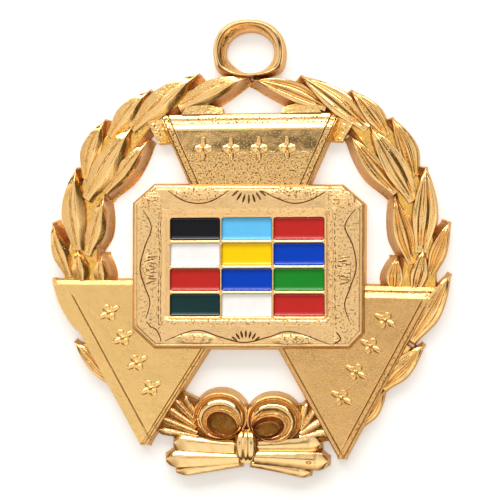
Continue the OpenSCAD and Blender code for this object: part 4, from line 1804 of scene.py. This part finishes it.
@dataclass(frozen=True)
class Studio:
    """The pale floor, the lights, the sky of the light tent and the camera."""

    target: Row = (-0.125, -0.46, 2.5)
    offset: Row = (21.0, -7.0, 200.0)
    view_width: float = 83.3
    floor_size: float = 4.0
    floor_colour: Colour = (0.92, 0.92, 0.92)
    floor_glow: float = 0.22
    tent: float = 1.0
    tent_edge: Point = (0.45, 0.93)
    tent_colour: Colour = (1.0, 0.985, 0.95)
    low_light: float = 0.1
    low_colour: Colour = (1.0, 0.76, 0.42)
    right_shade: float = 0.5
    shade_edges: tuple[Point, Point] = ((-0.05, 0.05), (0.12, 0.25))
    left_light: float = 0.1
    left_edge: Point = (0.1, -0.7)
    lens_way: Row = (-0.104, 0.045, 0.9936)
    lens_edge: Point = (0.9885, 0.9974)
    lens_shade: float = 0.86
    panel_way: Row = (0.25, -0.45, 0.857)
    panel_edge: Point = (0.87, 0.97)
    panel_light: float = 0.35
    lights: Sequence[Softbox] = (
        Softbox("key_softbox", 92.0, 34.0, 0.9, (1.3, 0.4), 5.0),
        Softbox("left_fill", 172.0, 30.0, 0.9, (0.6, 0.4), 0.9, (1.0, 0.93, 0.86)),
        Softbox("front_fill", -85.0, 42.0, 0.9, (0.9, 0.4), 0.4, (1.0, 0.92, 0.8)),
    )

    def sky(self) -> None:
        """Light the tent: even overhead, darker toward its foot and its right side."""
        world = bpy.data.worlds.new("light_tent")
        bpy.context.scene.world = world
        world.use_nodes = True
        tree = NodeTree(world.node_tree)
        way = tree.node("ShaderNodeTexCoord", {}, {}, "Generated")
        x, y, z = (tree.node("ShaderNodeSeparateXYZ", {}, {"Vector": way}, part) for part in "XYZ")

        def patch(toward: Row, edge: Point) -> Value:
            """Give a round patch of the tent that lies one way."""
            return (x * toward[0] + y * toward[1] + z * toward[2]).ramp(*edge)

        overhead = z.ramp(*self.tent_edge)
        lens = 1.0 - patch(self.lens_way, self.lens_edge) * self.lens_shade
        shade_from, shade_to = self.shade_edges
        shade = (x.ramp(*shade_from) - x.ramp(*shade_to)) * self.right_shade
        low = self.low_light + x.ramp(*self.left_edge) * self.left_light
        strength = overhead * self.tent * (lens - shade) + low * (1.0 - overhead)
        strength = strength + patch(self.panel_way, self.panel_edge) * self.panel_light
        colour = tree.blend(overhead, self.low_colour, self.tent_colour)
        background = tree.node("ShaderNodeBackground", {}, {"Color": colour, "Strength": strength})
        output = tree.tree.nodes.new("ShaderNodeOutputWorld")
        tree.tree.links.new(background.socket, output.inputs["Surface"])

    def floor(self) -> None:
        """Lay the pale floor under the jewel."""
        shape = bmesh.new()
        bmesh.ops.create_grid(shape, x_segments=1, y_segments=1, size=self.floor_size / 2)
        mesh = bpy.data.meshes.new("floor")
        shape.to_mesh(mesh)
        ground = bpy.data.objects.new("floor", mesh)
        material = bpy.data.materials.new("pale_floor")
        material.use_nodes = True
        NodeTree(material.node_tree).surface({
            "Base Color": self.floor_colour, "Roughness": 0.9,
            "Emission Color": (1.0, 1.0, 1.0), "Emission Strength": self.floor_glow,
        })
        mesh.materials.append(material)
        bpy.context.scene.collection.objects.link(ground)

    def camera(self) -> None:
        """Hang the camera over the jewel, a little to its right."""
        target, offset = Vector(self.target) * MM, Vector(self.offset) * MM
        ahead = -offset.normalized()
        right = ahead.cross(Vector((0, 1, 0))).normalized()
        up = right.cross(ahead)
        lens = bpy.data.cameras.new("photo_camera")
        lens.sensor_fit = "HORIZONTAL"
        lens.angle = 2 * math.atan(self.view_width * MM / 2 / offset.length)
        lens.clip_start = 0.01
        camera = bpy.data.objects.new("photo_camera", lens)
        turn = Matrix((right, up, -ahead)).transposed().to_4x4()
        camera.matrix_world = Matrix.Translation(target + offset) @ turn
        bpy.context.scene.collection.objects.link(camera)
        bpy.context.scene.camera = camera

    def dress(self) -> None:
        """Set up the view, the light and the floor."""
        bpy.context.scene.view_settings.view_transform = "Standard"
        self.sky()
        self.floor()
        self.camera()
        for light in self.lights:
            light.dress()


def main() -> None:
    """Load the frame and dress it."""
    logging.basicConfig(level=logging.INFO, format="%(name)s: %(message)s")
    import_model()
    Studio().dress()
    Wreath().dress()
    HangingLoop().dress()
    for plate in PLATES:
        plate.dress()
    Breastplate().dress()
    EnamelSet().dress()
    Bow().dress()


if __name__ == "__main__":
    main()
